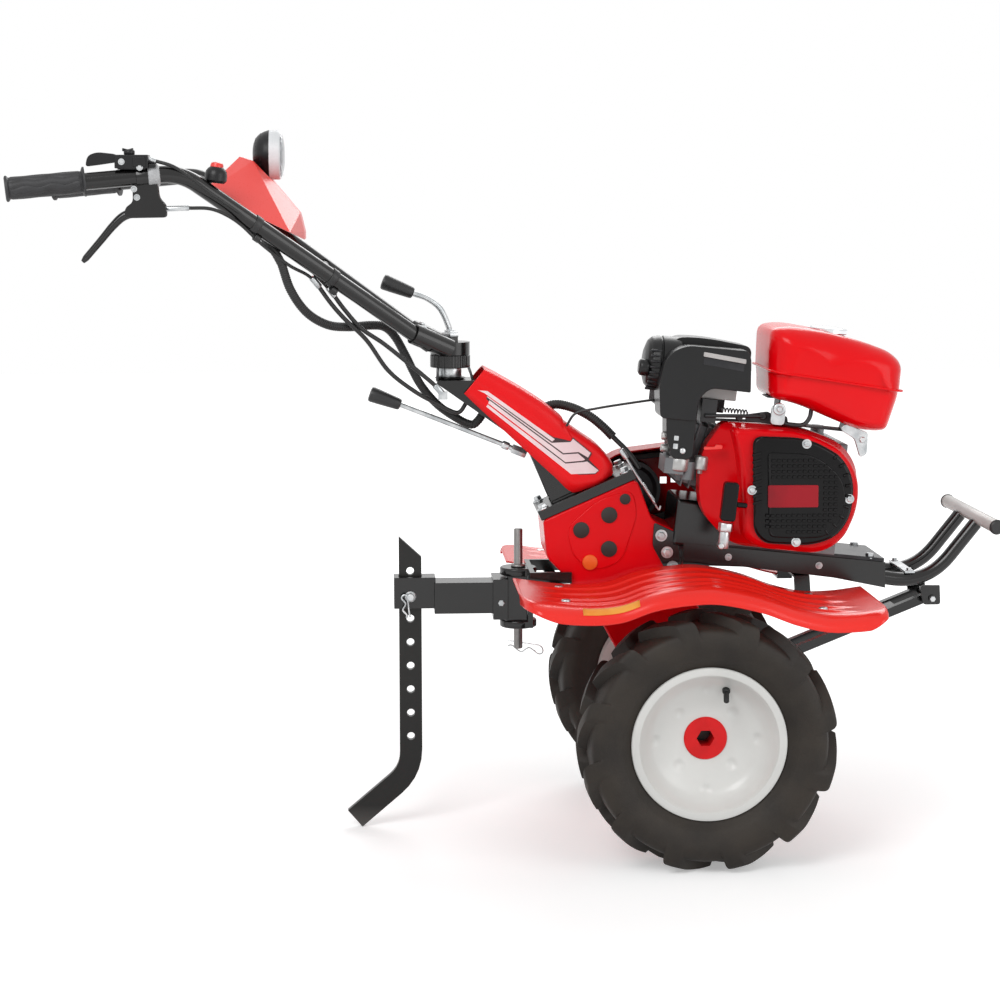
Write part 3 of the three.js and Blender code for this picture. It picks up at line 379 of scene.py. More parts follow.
def pipe(line, radius, sides=16):
    """A round bar along a line of points: at each point a circle square to the line's slope, its
    frame carried on from the point before with the least turn, and a flat cap at each end."""
    line = np.asarray(line, float)
    radius = np.broadcast_to(np.asarray(radius, float), (len(line),))
    slope = np.gradient(line, axis=0)
    slope /= np.linalg.norm(slope, axis=1)[:, None]
    first = np.cross(slope[0], (0, 0, 1.0) if abs(slope[0][2]) < 0.9 else (1.0, 0, 0))
    first /= np.linalg.norm(first)
    sides_at = []
    for t in slope:
        first = first - t * (first @ t)
        first = first / np.linalg.norm(first)
        sides_at.append(first)
    a = np.array(sides_at)
    b = np.cross(slope, a)
    turn = round_turn(sides)[None, :, None]
    rings = line[:, None] + radius[:, None, None] * (np.cos(turn) * a[:, None] + np.sin(turn) * b[:, None])
    return rings.reshape(-1, 3), capped(len(line), sides)


def bar(start, end, radius, sides=20, edge=0.2):
    """A straight round bar whose ends are eased over `edge` of its radius."""
    start, end = np.asarray(start, float), np.asarray(end, float)
    ease = edge * radius / np.linalg.norm(end - start)
    share = np.array([0, ease / 2, ease, 0.5, 1 - ease, 1 - ease / 2, 1])
    width = radius * np.array([1 - edge, 1 - edge / 4, 1, 1, 1, 1 - edge / 4, 1 - edge])
    return pipe(start + share[:, None] * (end - start), width, sides)


HEX_HALF = 11.8
HUB_START, HUB_FACE = 74, 240.3
HUB_SIDES = 96
VALVE_X, VALVE_Z = 29, AXLE_Z + 77
for side_name, side in SIDES:
    make(f"rim_pressing_{side_name}", [rim_shape(side * TRACK, side)], rim_enamel, "axle_wheels",
         [f"rim_{side_name}"], sharp=40)
    flange = HUB_FACE - 6
    section = np.array([
        (19, HUB_START), (19, flange), (31.5, flange), (33, flange + 1.2), (33, HUB_FACE - 1.2),
        (31.8, HUB_FACE), (0, HUB_FACE), (0, HUB_START), (19, HUB_START)])
    turn = round_turn(HUB_SIDES)
    r = np.broadcast_to(section[:, 0], (HUB_SIDES, len(section))).copy()
    # Points six and seven of the section are the bore, a hexagon: its radius at an angle is the
    # flat's distance over a cosine.
    r[:, 6:8] = (HEX_HALF / np.cos((turn + pi / 6) % (pi / 3) - pi / 6))[:, None]
    points = np.stack([r * np.sin(turn)[:, None], np.broadcast_to(side * section[:, 1], r.shape),
                       AXLE_Z + r * np.cos(turn)[:, None]], -1).reshape(-1, 3)
    make(f"hub_flange_{side_name}", [(points, grid_faces(HUB_SIDES, len(section), True, False))], hub_enamel,
         "axle_wheels", [f"hub_{side_name}"], sharp=30)
    foot = side * (TRACK + 4)
    make(f"tyre_valve_{side_name}", [
        bar((VALVE_X, foot, VALVE_Z), (VALVE_X - 3, foot + side * 22, VALVE_Z - 14), 4.2, 16, 0.4),
        bar((VALVE_X, foot - side * 4, VALVE_Z + 3), (VALVE_X - 1, foot + side * 8, VALVE_Z - 3), 6, 16, 0.4),
    ], valve_rubber, "axle_wheels")
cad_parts["axle"].data.materials.clear()
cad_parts["axle"].data.materials.append(oiled_steel)

# ---------------------------------------------------------------- gearbox
# A cast housing in red enamel with a leg down to the axle. Black and orange rubber plugs close its
# shaft bores on both sides, on a raised pad, and zinc screws hold a black bracket at its front.
red_enamel = finish("red_enamel", "#e30412", "#d6020e", 0.24, patch=5, grain=240, relief=0.05, spread=0.04,
                    bump_depth=0.0003, specular=0.17)
black_enamel = finish("black_enamel", "#0f0e0e", "#090808", 0.2, patch=12, grain=200, relief=0.02,
                      spread=0.02, bump_depth=0.0001, specular=0.5)
plug_rubber = finish("plug_rubber", "#23221f", "#1a1917", 0.6, patch=40, grain=700)
orange_plug = finish("orange_plug", "#f06a1c", "#e25a12", 0.45, patch=40)
zinc_plate = finish("zinc_plate", "#c9cbcc", "#a9adaf", 0.3, patch=60, grain=600, relief=0.1,
                    metallic=0.9)


def refined(node, name, material, body, bevel, sharp=24):
    """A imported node's own shape with its edges rounded: its triangles are merged into one skin,
    flat ones are joined, and a bevel takes the edges off."""
    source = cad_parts[node].data
    points = np.empty(len(source.vertices) * 3, np.float32)
    source.vertices.foreach_get("co", points)
    faces = [list(p.vertices) for p in source.polygons]
    points = points.reshape(-1, 3)
    return piece_of(name, points, faces, material, body, [node], bevel, 3, sharp, 2e-6, 0.6)


def button(centre, axis, radius, height, dome=0.25, sides=32):
    """A round flat-topped button: a short cylinder with its rim eased over `dome` of its height.
    `axis` is a letter with its sign."""
    sign = -1 if axis[0] == "-" else 1
    ease = dome * height
    profile = [(0, 0), (radius, 0), (radius, height - ease), (radius - ease * 0.4, height - ease * 0.3),
               (radius - ease, height), (0, height)]
    return turned([(r, sign * a) for r, a in profile], centre, axis[-1], sides)


def hexagon_bolt(centre, axis, across, sides=24):
    """A washer, a six-sided head and its rounded crown, all turned about the bolt's axis."""
    sign = -1 if axis[0] == "-" else 1
    radius = across / 3**0.5
    washer = turned([(0, 0), (across * 0.85, 0), (across * 0.85, sign * across * 0.12),
                     (0, sign * across * 0.12)], centre, axis[-1], sides)
    head = turned([(0, 0), (radius, 0), (radius, sign * across * 0.55), (radius * 0.8, sign * across * 0.64),
                   (0, sign * across * 0.66)], centre, axis[-1], 6)
    return [washer, head]


def bolts(places, axis, across):
    """Hexagon bolts of one size at several places, as one list of shapes."""
    return [shape for place in places for shape in hexagon_bolt(place, axis, across)]


def slab(outline, low, high):
    """A plate with an outline in the XZ plane, from y = low to y = high."""
    outline = np.asarray(outline, float)
    n = len(outline)
    points = np.empty((2, n, 3))
    points[:, :, 0] = outline[:, 0]
    points[:, :, 2] = outline[:, 1]
    points[0, :, 1], points[1, :, 1] = low, high
    return points.reshape(-1, 3), capped(2, n)


def eased(corners, radius, steps=5):
    """An outline with each corner replaced by a quadratic arc that starts `radius` before it and
    ends as far after it, or at most half an edge away. A corner may carry its own radius."""
    p = np.array([c[:2] for c in corners], float)
    reach = np.array([c[2] if len(c) > 2 else radius for c in corners], float)
    before, after = np.roll(p, 1, 0) - p, np.roll(p, -1, 0) - p
    long_before, long_after = np.linalg.norm(before, axis=1), np.linalg.norm(after, axis=1)
    reach = np.minimum(reach, 0.48 * np.minimum(long_before, long_after))[:, None]
    start = p + before / long_before[:, None] * reach
    end = p + after / long_after[:, None] * reach
    t = np.linspace(0, 1, steps + 1)[None, :, None]
    arcs = (1 - t) ** 2 * start[:, None] + 2 * t * (1 - t) * p[:, None] + t**2 * end[:, None]
    return arcs.reshape(-1, 2)


def block(x, y, z):
    """A box between three pairs of limits."""
    return slab([(x[0], z[0]), (x[1], z[0]), (x[1], z[1]), (x[0], z[1])], y[0], y[1])


CASE_HALF = 58
refined("gearbox_case", "gearbox_casting", red_enamel, "chassis", 5)
case_plugs = [(-129, 520, 12.8), (-173, 496.5, 12.8), (-129, 466, 12.8)]
for side_name, side in SIDES:
    out = "y" if side > 0 else "-y"
    face = side * CASE_HALF
    # The bores share one raised pad.
    pad = eased([(-196, 500, 16), (-146, 545, 20), (-92, 560, 16), (-84, 520, 14), (-108, 446, 18),
                 (-150, 430, 20), (-186, 452, 20)], 14)
    make(f"gearbox_pad_{side_name}", [slab(pad, face - side * 4, face + side * 2.6)], red_enamel, "chassis",
         bevel=1.8, segments=3)
    raised = face + side * 2.4
    make(f"gearbox_plugs_{side_name}",
         [button((x, raised, z), out, r, 2.2) for x, z, r in case_plugs]
         + [button((-104, raised, 545), out, 8.5, 2)], plug_rubber, "chassis")
    make(f"gearbox_drain_plug_{side_name}", [button((-159, raised, 445), out, 12, 4, 0.5)], orange_plug,
         "chassis")
    bracket = eased([(-58, 508), (-20, 490), (-13, 424), (-34, 422), (-60, 470)], 6)
    make(f"case_bracket_{side_name}", [slab(bracket, face - side * 2, face + side * 4)], black_enamel,
         "chassis", bevel=1)
    screws = [(x, face + side * 4, z) for x, z in ((-46.5, 487), (-37, 460), (-28, 437))]
    make(f"case_screws_{side_name}", bolts(screws, out, 11), zinc_plate, "chassis")

# ---------------------------------------------------------------- column and its foot
# A folded steel column in black enamel, welded to a foot plate that four zinc screws hold on the
# gearbox, with a weld bead along each side of its foot.
refined("column", "column_weldment", black_enamel, "chassis", 1.6)
CASE_REAR, CASE_FRONT = np.array([-233.0, 511.0]), np.array([-85.0, 576.0])
joint_slope = atan2(*(CASE_FRONT - CASE_REAR)[::-1])


def on_case(along, above):
    """A point at `along` the gearbox's sloping top joint and `above` it, in the XZ plane."""
    return (CASE_REAR[0] + along * cos(joint_slope) - above * sin(joint_slope),
            CASE_REAR[1] + along * sin(joint_slope) + above * cos(joint_slope))


foot_screws = []
for along in (8, 150):
    for y in (-45, 45):
        low, flange, top = [(x, y, z) for x, z in (on_case(along, above) for above in (15, 18, 24))]
        foot_screws.append(bar(low, top, 7, 6, 0.15))
        foot_screws.append(bar(low, flange, 9.5, 24, 0.1))
make("column_foot_screws", foot_screws, zinc_plate, "chassis")
foot_bead = [smooth_line([(x, y, z) for x, z in (on_case(26, 17), on_case(60, 17.5), on_case(108, 17))], 20)
             for y in (-38.5, 38.5)]
make("column_foot_weld", [pipe(bead, 3.2, 10) for bead in foot_bead], black_enamel, "chassis")

# ---------------------------------------------------------------- column cover
# A thin moulded hood in red plastic, crowned across, with a raised panel along its top that ends in
# a step, and four pale bands with dark lines between them along each side.
cover_plastic = finish("cover_plastic", "#f0161c", "#e81016", 0.3, patch=4, grain=520, relief=0.04,
                       specular=0.22)
stripe_film = finish("stripe_film", "#f6e4e6", "#efd6d9", 0.45, patch=20, relief=0.03)
COVER_HALF = 44.6


def rails_of_cover(count):
    """The lower and the upper edge line of the cover, in the XZ plane, from its rear to its front."""
    lower = smooth_line([(-356, 711), (-330, 686), (-292, 651), (-250, 612), (-214, 579), (-187, 555),
                         (-163, 560), (-136, 571), (-124, 578)], count)
    upper = smooth_line([(-323, 750), (-298, 737), (-265, 718), (-228, 694), (-198, 670), (-170, 650),
                         (-143, 631), (-121, 606), (-116.5, 588)], count)
    return lower, upper


def cover_skin(rows=150, columns=110):
    """Half a superellipse over each rung between the two edge lines: the share of the half width
    is the cosine of an angle to the power 0.30, and that of the height its sine to the power 0.46.
    Off the raised panel, which lies above the bands as far as the step, the skin is 4 mm lower."""
    lower, upper = rails_of_cover(rows)
    turn = np.linspace(0, pi, columns)[None, :]
    along = np.linspace(0, 1, rows)[:, None]
    wide = np.sign(np.cos(turn)) * np.abs(np.cos(turn)) ** 0.30
    high = np.abs(np.sin(turn)) ** 0.46
    above_bands = 0.50 + 0.34 * along
    nose = 0.585 - 0.10 * smooth_step(high, 0.70, 1.0)
    panel = smooth_step(high, above_bands, above_bands + 0.05) * (1 - smooth_step(along, nose, nose + 0.02))
    lift = 4.0 * panel - 4.0
    narrowing = 1 - 0.22 * smooth_step(along, 0.80, 1.0)
    rung = upper - lower
    out = rung / np.linalg.norm(rung, axis=1)[:, None]
    x = lower[:, :1] + rung[:, :1] * high + out[:, :1] * lift * high
    z = lower[:, 1:] + rung[:, 1:] * high + out[:, 1:] * lift * high
    y = wide * (COVER_HALF + 1.4 * panel) * narrowing
    points = np.stack([x, np.broadcast_to(y, x.shape), z], -1).reshape(-1, 3)
    return points, grid_faces(rows, columns)


def thicken(piece, thickness):
    """Turns an open sheet's faces up and gives it a wall of even thickness behind them."""
    mesh = piece.data
    work = bmesh.new()
    work.from_mesh(mesh)
    if sum(f.normal.z * f.calc_area() for f in work.faces) < 0:
        bmesh.ops.reverse_faces(work, faces=work.faces)
        work.to_mesh(mesh)
    work.free()
    wall = piece.modifiers.new("wall", "SOLIDIFY")
    wall.thickness = thickness / 1000
    wall.offset = -1


cover = make("column_hood", [cover_skin()], cover_plastic, "chassis", ["column_cover"],
             sharp=60)
thicken(cover, 2.6)

bands = [
    [(-335, 716.5), (-319.5, 715), (-213.6, 638.7), (-217.9, 634.8), (-324.5, 711.8)],
    [(-320.6, 707.6), (-218.8, 633), (-188.9, 634), (-185, 639.2), (-157, 616.4), (-161.2, 609.1),
     (-176, 618), (-200.1, 616.4), (-319.2, 704.6)],
    [(-316.5, 700.6), (-200.5, 614.4), (-177, 615.8), (-165.7, 606.2), (-169, 604.4), (-196.7, 602),
     (-318.5, 695.8)],
    [(-319.2, 694), (-196.7, 600), (-168, 602.2), (-162.5, 603.2), (-144.3, 588.6), (-149.8, 584.1),
     (-187.7, 583), (-321.6, 690.6)],
]
ground = [(-216, 642), (-188.5, 635.4), (-185, 641), (-155, 616.4), (-160, 606), (-143, 588.8),
          (-149.6, 582.6), (-188.2, 581.8), (-322.6, 689.6), (-321, 706)]
line_film = finish("line_film", "#3a2226", "#2c191c", 0.45, patch=20, relief=0.03)
for side_name, side in SIDES:
    face = side * (COVER_HALF - 0.4)
    make(f"cover_ground_{side_name}", [slab(ground, face - side * 1.5, face + side * 0.35)], line_film,
         "chassis")
    make(f"cover_bands_{side_name}", [slab(band, face - side * 1.5, face + side * 0.75) for band in bands],
         stripe_film, "chassis", bevel=0.3, segments=1)

# ---------------------------------------------------------------- gear lever
# A bent zinc rod out of the column's rear with a long black knob and a lock nut at its foot.
knob_plastic = finish("knob_plastic", "#1d1d1e", "#151516", 0.42, patch=30, grain=600, relief=0.1)
LEVER_Y = -20
lever_elbow, lever_top = np.array((-286, LEVER_Y, 625.0)), np.array((-455, LEVER_Y, 692.0))
knob_end = np.array((-503, LEVER_Y, 710.0))
lever_line = smooth_line([(-257, LEVER_Y, 613), (-272, LEVER_Y, 618), lever_elbow, (-330, LEVER_Y, 642.5),
                          (-400, LEVER_Y, 670.3), lever_top, (-470, LEVER_Y, 697.6)], 60)
make("gear_lever_rod", [pipe(lever_line, 4, 16), bar((-257, LEVER_Y, 613), (-280, LEVER_Y, 622), 8, 6, 0.2),
                        bar((-284, LEVER_Y, 624), (-296, LEVER_Y, 629), 6.5, 20, 0.3)],
     zinc_plate, "chassis", ["gear_lever"])


def lever_knob(start, end):
    """A long knob that widens towards its end, with both ends eased."""
    share = np.array([0, 0.03, 0.08, 0.3, 0.7, 0.92, 0.98, 1.0])
    width = np.array([6.8, 8.6, 9.2, 10.1, 11.6, 12.2, 11.2, 7.5])
    return pipe(start + share[:, None] * (end - start), width, 28)


make("gear_lever_knob", [lever_knob(lever_top, knob_end)], knob_plastic, "chassis")

# ---------------------------------------------------------------- handlebar head
# A turned post and a toothed disc on the column, with two dark wire loops beside them. Above them
# is the head casting with its two sockets and zinc nuts, and a bent zinc lever with a black sleeve.
dark_loop = finish("dark_loop", "#4a4a4b", "#333334", 0.35, patch=40, relief=0.1, metallic=0.7)
SWIVEL_X, SWIVEL_Z = -376, 731
DISC_LOW = SWIVEL_Z + 18.3
DISC_HIGH = DISC_LOW + 20
HEAD_HIGH = DISC_HIGH + 20.3
ROOT_X, ROOT_Z = SWIVEL_X - 33, 787
HANDLE_LENGTH, HANDLE_RISE, HANDLE_SPREAD = 452, radians(35.7), radians(25.1)
RISE, SPREAD = tan(HANDLE_RISE), tan(HANDLE_SPREAD)
TUBE_RADIUS = 12.5


def toothed(radius, depth, teeth, low, high):
    """A disc about the swivel whose radius drops by `depth` between teeth, as a smooth comb."""
    turn = round_turn(teeth * 8)
    r = radius - depth * smooth_step(np.cos(teeth * turn), -0.2, 0.5)
    rim = np.array([(0.0, low), (0.96, low), (1, low + 1), (1, high - 1), (0.96, high), (0.0, high)])
    radius_at = rim[:, 0][:, None] * r[None, :]
    points = np.stack([SWIVEL_X + radius_at * np.cos(turn), radius_at * np.sin(turn),
                       np.broadcast_to(rim[:, 1][:, None], radius_at.shape)], -1)
    return fan_poles(points.reshape(-1, 3), grid_faces(6, len(turn), False, True))


make("head_disc", [toothed(31.5, 0.5, 36, DISC_LOW, DISC_HIGH),
                   bar((SWIVEL_X, 0, SWIVEL_Z + 0.3), (SWIVEL_X, 0, SWIVEL_Z + 4), 24, 48, 0.1)],
     black_enamel, "chassis", ["head_base"])
make("head_post", [bar((SWIVEL_X, 0, SWIVEL_Z + 3), (SWIVEL_X, 0, DISC_LOW + 2), 18, 48, 0.04)], zinc_plate,
     "chassis")
loops = [smooth_line([(x, -19, SWIVEL_Z + 20), (x + lean, -22, SWIVEL_Z + 10),
                      (x + 2 * lean, -22, SWIVEL_Z - 2)], 16)
         for x, lean in ((-396, -0.5), (-348, 3.5))]
make("head_loops", [pipe(loop, 2.2, 10) for loop in loops], dark_loop, "chassis")


def on_handle(run, side):
    """A point on a handle tube's centre line, `run` behind its root."""
    return np.array([ROOT_X - run, side * (39 + run * SPREAD), ROOT_Z + run * RISE])


refined("swivel_head", "head_casting", black_enamel, "handlebar", 1.2)
head_nuts = [bar((SWIVEL_X, 0, HEAD_HIGH + 7), (SWIVEL_X, 0, HEAD_HIGH + 15), 15, 6, 0.12),
             bar((SWIVEL_X, 0, HEAD_HIGH + 14), (SWIVEL_X, 0, HEAD_HIGH + 19), 9, 24, 0.3)]
for side in (1, -1):
    middle = on_handle(12, side)
    head_nuts.append(bar(middle + (0, 0, 12), middle + (3, 0, 22), 5.5, 6, 0.2))
make("head_nuts", head_nuts, zinc_plate, "handlebar")

clamp_line = smooth_line([(SWIVEL_X, 0, 800), (SWIVEL_X - 3, -2, 815), (-392, -8, 842), (-412, -11, 858),
                          (-434, -12, 866), (-455, -13, 874)], 60)
make("clamp_lever_rod", [pipe(clamp_line, 4.5, 16),
                         bar((SWIVEL_X, 0, 797.6), (SWIVEL_X, 0, 808), 10, 6, 0.15)],
     zinc_plate, "handlebar", ["clamp_lever"])
sleeve_start, sleeve_end = np.array((-434, -12, 866.0)), np.array((-482, -14, 885.0))
make("clamp_lever_sleeve", [lever_knob(sleeve_start, sleeve_end)], knob_plastic, "handlebar")

# ---------------------------------------------------------------- handle tubes and grips
# Two bent steel tubes in satin black enamel, joined by a welded cross bar, with ribbed black
# rubber grips that end in a flange in front and a bulb behind.
grip_rubber = finish("grip_rubber", "#2c2c2e", "#1f1f20", 0.55, patch=40, grain=700, relief=0.2)
HANDLE_RUN = HANDLE_LENGTH * cos(HANDLE_RISE)
BEND = on_handle(HANDLE_RUN, 1)
GRIP_TUBE, GRIP = 249, 114
GRIP_END = BEND + np.array([-GRIP_TUBE, GRIP_TUBE * tan(radians(9)), -GRIP_TUBE * tan(radians(5.4))])
mirror = np.array([1, -1, 1])


def along_grip(run, side):
    """A point on the grip tube's centre line, `run` behind the bend."""
    point = BEND + run / GRIP_TUBE * (GRIP_END - BEND)
    return point if side > 0 else point * mirror


def bent_line(start, corner, end, reach, steps=24):
    """Straight from start to `reach` before the corner, a quadratic arc round it, then straight."""
    start, corner, end = (np.asarray(p, float) for p in (start, corner, end))
    arc_in = corner + (start - corner) / np.linalg.norm(start - corner) * reach
    arc_out = corner + (end - corner) / np.linalg.norm(end - corner) * reach
    t = np.linspace(0, 1, steps)[:, None]
    arc = (1 - t) ** 2 * arc_in + 2 * t * (1 - t) * corner + t**2 * arc_out
    lead = start + np.linspace(0, 1, 6)[:-1, None] * (arc_in - start)
    tail = arc_out + np.linspace(0, 1, 6)[1:, None] * (end - arc_out)
    return np.concatenate([lead, arc, tail])


def fluted_grip(side):
    """A sleeve along the tube. Its radius is 15.2 mm plus 1.3 mm on each of nine lengthwise ribs,
    which sway a little along the sleeve, with a flange in front and a bulb behind as smooth swells."""
    run = np.linspace(0, GRIP, 90)[:, None]
    turn = round_turn(144)[None, :]
    sway = 0.13 * np.sin(run / GRIP * 6 * pi)
    ribs = 1.3 * np.abs(np.cos(4.5 * (turn + sway))) ** 0.5
    radius = 15.2 + ribs * smooth_step(run, 5, 9) * (1 - smooth_step(run, GRIP - 10, GRIP - 6))
    radius = radius + 6.2 * (1 - smooth_step(run, 2.5, 5.5)) + 3.6 * smooth_step(run, GRIP - 7, GRIP - 4)
    radius = radius - 3.0 * smooth_step(run, GRIP - 1.5, GRIP)
    start, end = along_grip(GRIP_TUBE - GRIP, side), along_grip(GRIP_TUBE, side)
    ahead = (end - start) / np.linalg.norm(end - start)
    across = np.cross(ahead, (0, 0, 1))
    across /= np.linalg.norm(across)
    above = np.cross(across, ahead)
    points = (start + run[..., None] * ahead + radius[..., None] * np.cos(turn)[..., None] * across
              + radius[..., None] * np.sin(turn)[..., None] * above)
    return points.reshape(-1, 3), capped(*radius.shape)


BEND_RADIUS = 80
tube_way, grip_way = BEND - on_handle(0, 1), GRIP_END - BEND
bend_reach = BEND_RADIUS * tan(acos(np.dot(tube_way, grip_way) / np.linalg.norm(tube_way)
                                    / np.linalg.norm(grip_way)) / 2)
for side_name, side in SIDES:
    line = bent_line(on_handle(0, side), on_handle(HANDLE_RUN, side), along_grip(GRIP_TUBE - 6, side),
                     bend_reach)
    make(f"handle_bar_{side_name}", [pipe(line, TUBE_RADIUS, 32)], black_enamel, "handlebar",
         [f"handle_tube_{side_name}"])
    make(f"grip_sleeve_{side_name}", [fluted_grip(side)], grip_rubber, "handlebar", [f"grip_{side_name}"])

CROSS_RUN = 165
cross_at = on_handle(CROSS_RUN, 1)
cross_shapes = [bar((cross_at[0], -cross_at[1] + 4, cross_at[2]), (cross_at[0], cross_at[1] - 4, cross_at[2]),
                    8, 28, 0.05)]
for side in (1, -1):
    middle = on_handle(CROSS_RUN, side)
    cross_shapes.append(bar(middle + (0, -side * 10, 0), middle + (0, -side * 15, 0), 10.5, 24, 0.4))
make("cross_bar", cross_shapes, black_enamel, "handlebar", ["handle_cross_member"])
cable_clips = []
for run in (150, 262):
    middle = on_handle(run, -1)
    slope = on_handle(run + 5, -1) - on_handle(run - 5, -1)
    cable_clips.append(bar(middle - slope * 0.45, middle + slope * 0.45, TUBE_RADIUS + 1.6, 28, 0.05))
    below = middle + (2, 0, -20)
    cable_clips.append(bar(below - slope * 0.4, below + slope * 0.4, 6))
make("cable_clips", cable_clips, knob_plastic, "handlebar")

# ---------------------------------------------------------------- dash cover and headlamp
# A faceted moulding in red plastic that straddles the two tubes and carries a round headlamp: a
# black bowl with a vented rim behind, a pale bezel, a chromed reflector and a clear domed lens.
dash_plastic = finish("dash_plastic", "#f2463f", "#ec3c36", 0.3, patch=4, grain=520, relief=0.04,
                      specular=0.5)
lamp_plastic = finish("lamp_plastic", "#121214", "#0b0b0d", 0.36, patch=30, grain=600, relief=0.08,
                      specular=0.35)
chrome = finish("chrome", "#e6e8ea", "#d8dbde", 0.1, patch=30, relief=0.02, spread=0.03,
                metallic=1.0)
dash = refined("dash_cover", "dash_moulding", dash_plastic, "handlebar", 1.4, sharp=7)
corners = np.empty(len(dash.data.vertices) * 3)
dash.data.vertices.foreach_get("co", corners)
corners = corners.reshape(-1, 3)


def past(low, high):
    """How far each corner of the dash is past one X of the machine, towards another, from 0 to 1."""
    return smooth_step(corners[:, 0], in_frame((low, 0, 0))[0], in_frame((high, 0, 0))[0])


# The moulding's front end is raised, its rear end is drawn back, and its rear corners a little more.
low_end = past(-665, -605)
high_end = 1 - past(-722, -695)
corners[:, 0] -= 0.004 * low_end + 0.009 * high_end
corners[:, 2] += 0.012 * low_end - 0.004 * high_end
at_side = smooth_step(np.abs(corners[:, 1]), 0.07, 0.12) * (1 - past(-700, -670))
corners[:, 0] -= 0.010 * at_side
corners[:, 2] -= 0.002 * at_side
dash.data.vertices.foreach_set("co", corners.ravel())
LAMP_X, LAMP_Z = -655, 1080
bowl = smooth_line([(0, -26), (10, -25.6), (20, -23.4), (29, -18), (34.5, -10), (37, -3.5), (38, -0.3)], 40)
make("lamp_bowl", [turned(np.concatenate([bowl, [(36, -0.3), (0, -0.3)]]), (LAMP_X, 0, LAMP_Z), "x", 72)],
     lamp_plastic, "handlebar", ["headlamp_housing"])
lamp_fins = []
for i in range(24):
    turn = i / 24 * 2 * pi
    near = (LAMP_X - 21, 23.5 * cos(turn), LAMP_Z + 23.5 * sin(turn))
    far = (LAMP_X - 12, 32.5 * cos(turn), LAMP_Z + 32.5 * sin(turn))
    lamp_fins.append(bar(near, far, 1.5, 8, 0.3))
make("lamp_fins", lamp_fins, lamp_plastic, "handlebar")
bezel = [(34.5, 0), (38, 0), (38, 15.5), (37, 17), (35, 17), (34.5, 15.5), (34.5, 0)]
bezel_plastic = finish("bezel_plastic", "#e4e6e8", "#d9dcde", 0.28, patch=20, relief=0.04)
make("lamp_bezel", [turned(bezel, (LAMP_X, 0, LAMP_Z), "x", 72)], bezel_plastic, "handlebar")
reflector = smooth_line([(0, 1), (12, 2.4), (22, 5.6), (30, 10.6), (34.4, 15)], 30)
reflector = np.concatenate([reflector, [(34.4, 0.3), (0, 0.3)]])
make("lamp_reflector", [turned(reflector, (LAMP_X, 0, LAMP_Z), "x", 72)], chrome, "handlebar")
lens_glass, tree, glass = new_material("lens_glass")
flute = shader_node(tree, "TexWave", {"Scale": 55, "Vector": shader_node(tree, "TexCoord").outputs["Object"]},
                    bands_direction="Y")
ripple = shader_node(tree, "Bump", {"Strength": 0.4, "Distance": 0.0006, "Height": flute.outputs["Fac"]})
feed(tree, glass, {"Base Color": linear("#eef1f4"), "Roughness": 0.06, "IOR": 1.49,
                   "Transmission Weight": 0.75, "Normal": ripple.outputs["Normal"]})
dome = smooth_line([(34.6, 15.4), (34, 18), (30, 20.6), (20, 22.8), (10, 23.8), (0, 24)], 36)
make("lamp_lens", [turned(np.concatenate([[(0, 15.4)], dome]), (LAMP_X, 0, LAMP_Z), "x", 72)], lens_glass,
     "handlebar", ["headlamp_lens"], sharp=50)
make("lamp_bulb", [bar((LAMP_X + 2, 0, LAMP_Z), (LAMP_X + 12, 0, LAMP_Z), 5, 20, 0.6)], stripe_film,
     "handlebar")
hook = smooth_line([(-697, -52, 1052), (-700, -56, 1059), (-706, -58, 1060), (-708, -58, 1052),
                    (-708, -58, 1046)], 20)
make("dash_hook", [pipe(hook, 1.6, 10)], black_enamel, "handlebar")

# ---------------------------------------------------------------- controls on the right tube
# A black switch with a red cap, the throttle with its thumb paddle and a blank clamp plate, and the
# clutch lever's pressed bracket with its long curved blade.
bezel_grey = finish("bezel_grey", "#b9babb", "#a6a7a9", 0.4, patch=20, relief=0.08)
SWITCH_RUN = HANDLE_RUN - 55
switch_foot = on_handle(SWITCH_RUN, -1)
switch_top = switch_foot + (6, 0, 52)
up = (switch_top - switch_foot) / np.linalg.norm(switch_top - switch_foot)
switch_back = np.array([-9.0, 0, 3.0])
body_share = np.array([22, 26, 33, 39, 43, 46])
body_width = np.array([13, 16.4, 16.4, 15.4, 12.5, 9])
make("switch_body", [pipe(switch_foot + switch_back + body_share[:, None] * up, body_width, 36)],
     lamp_plastic, "handlebar", ["kill_switch"])
cap_share = np.array([44, 48, 51, 52.5])
cap_width = np.array([9.6, 9.6, 8.4, 5.5])
make("switch_cap", [pipe(switch_foot + switch_back + cap_share[:, None] * up, cap_width, 36)], dash_plastic,
     "handlebar")

seat = along_grip(68, -1)


def near_seat(x, y, z):
    """A box about the throttle's seat on the tube, from offsets along each axis."""
    return block((seat[0] + x[0], seat[0] + x[1]), (seat[1] + y[0], seat[1] + y[1]),
                 (seat[2] + z[0], seat[2] + z[1]))


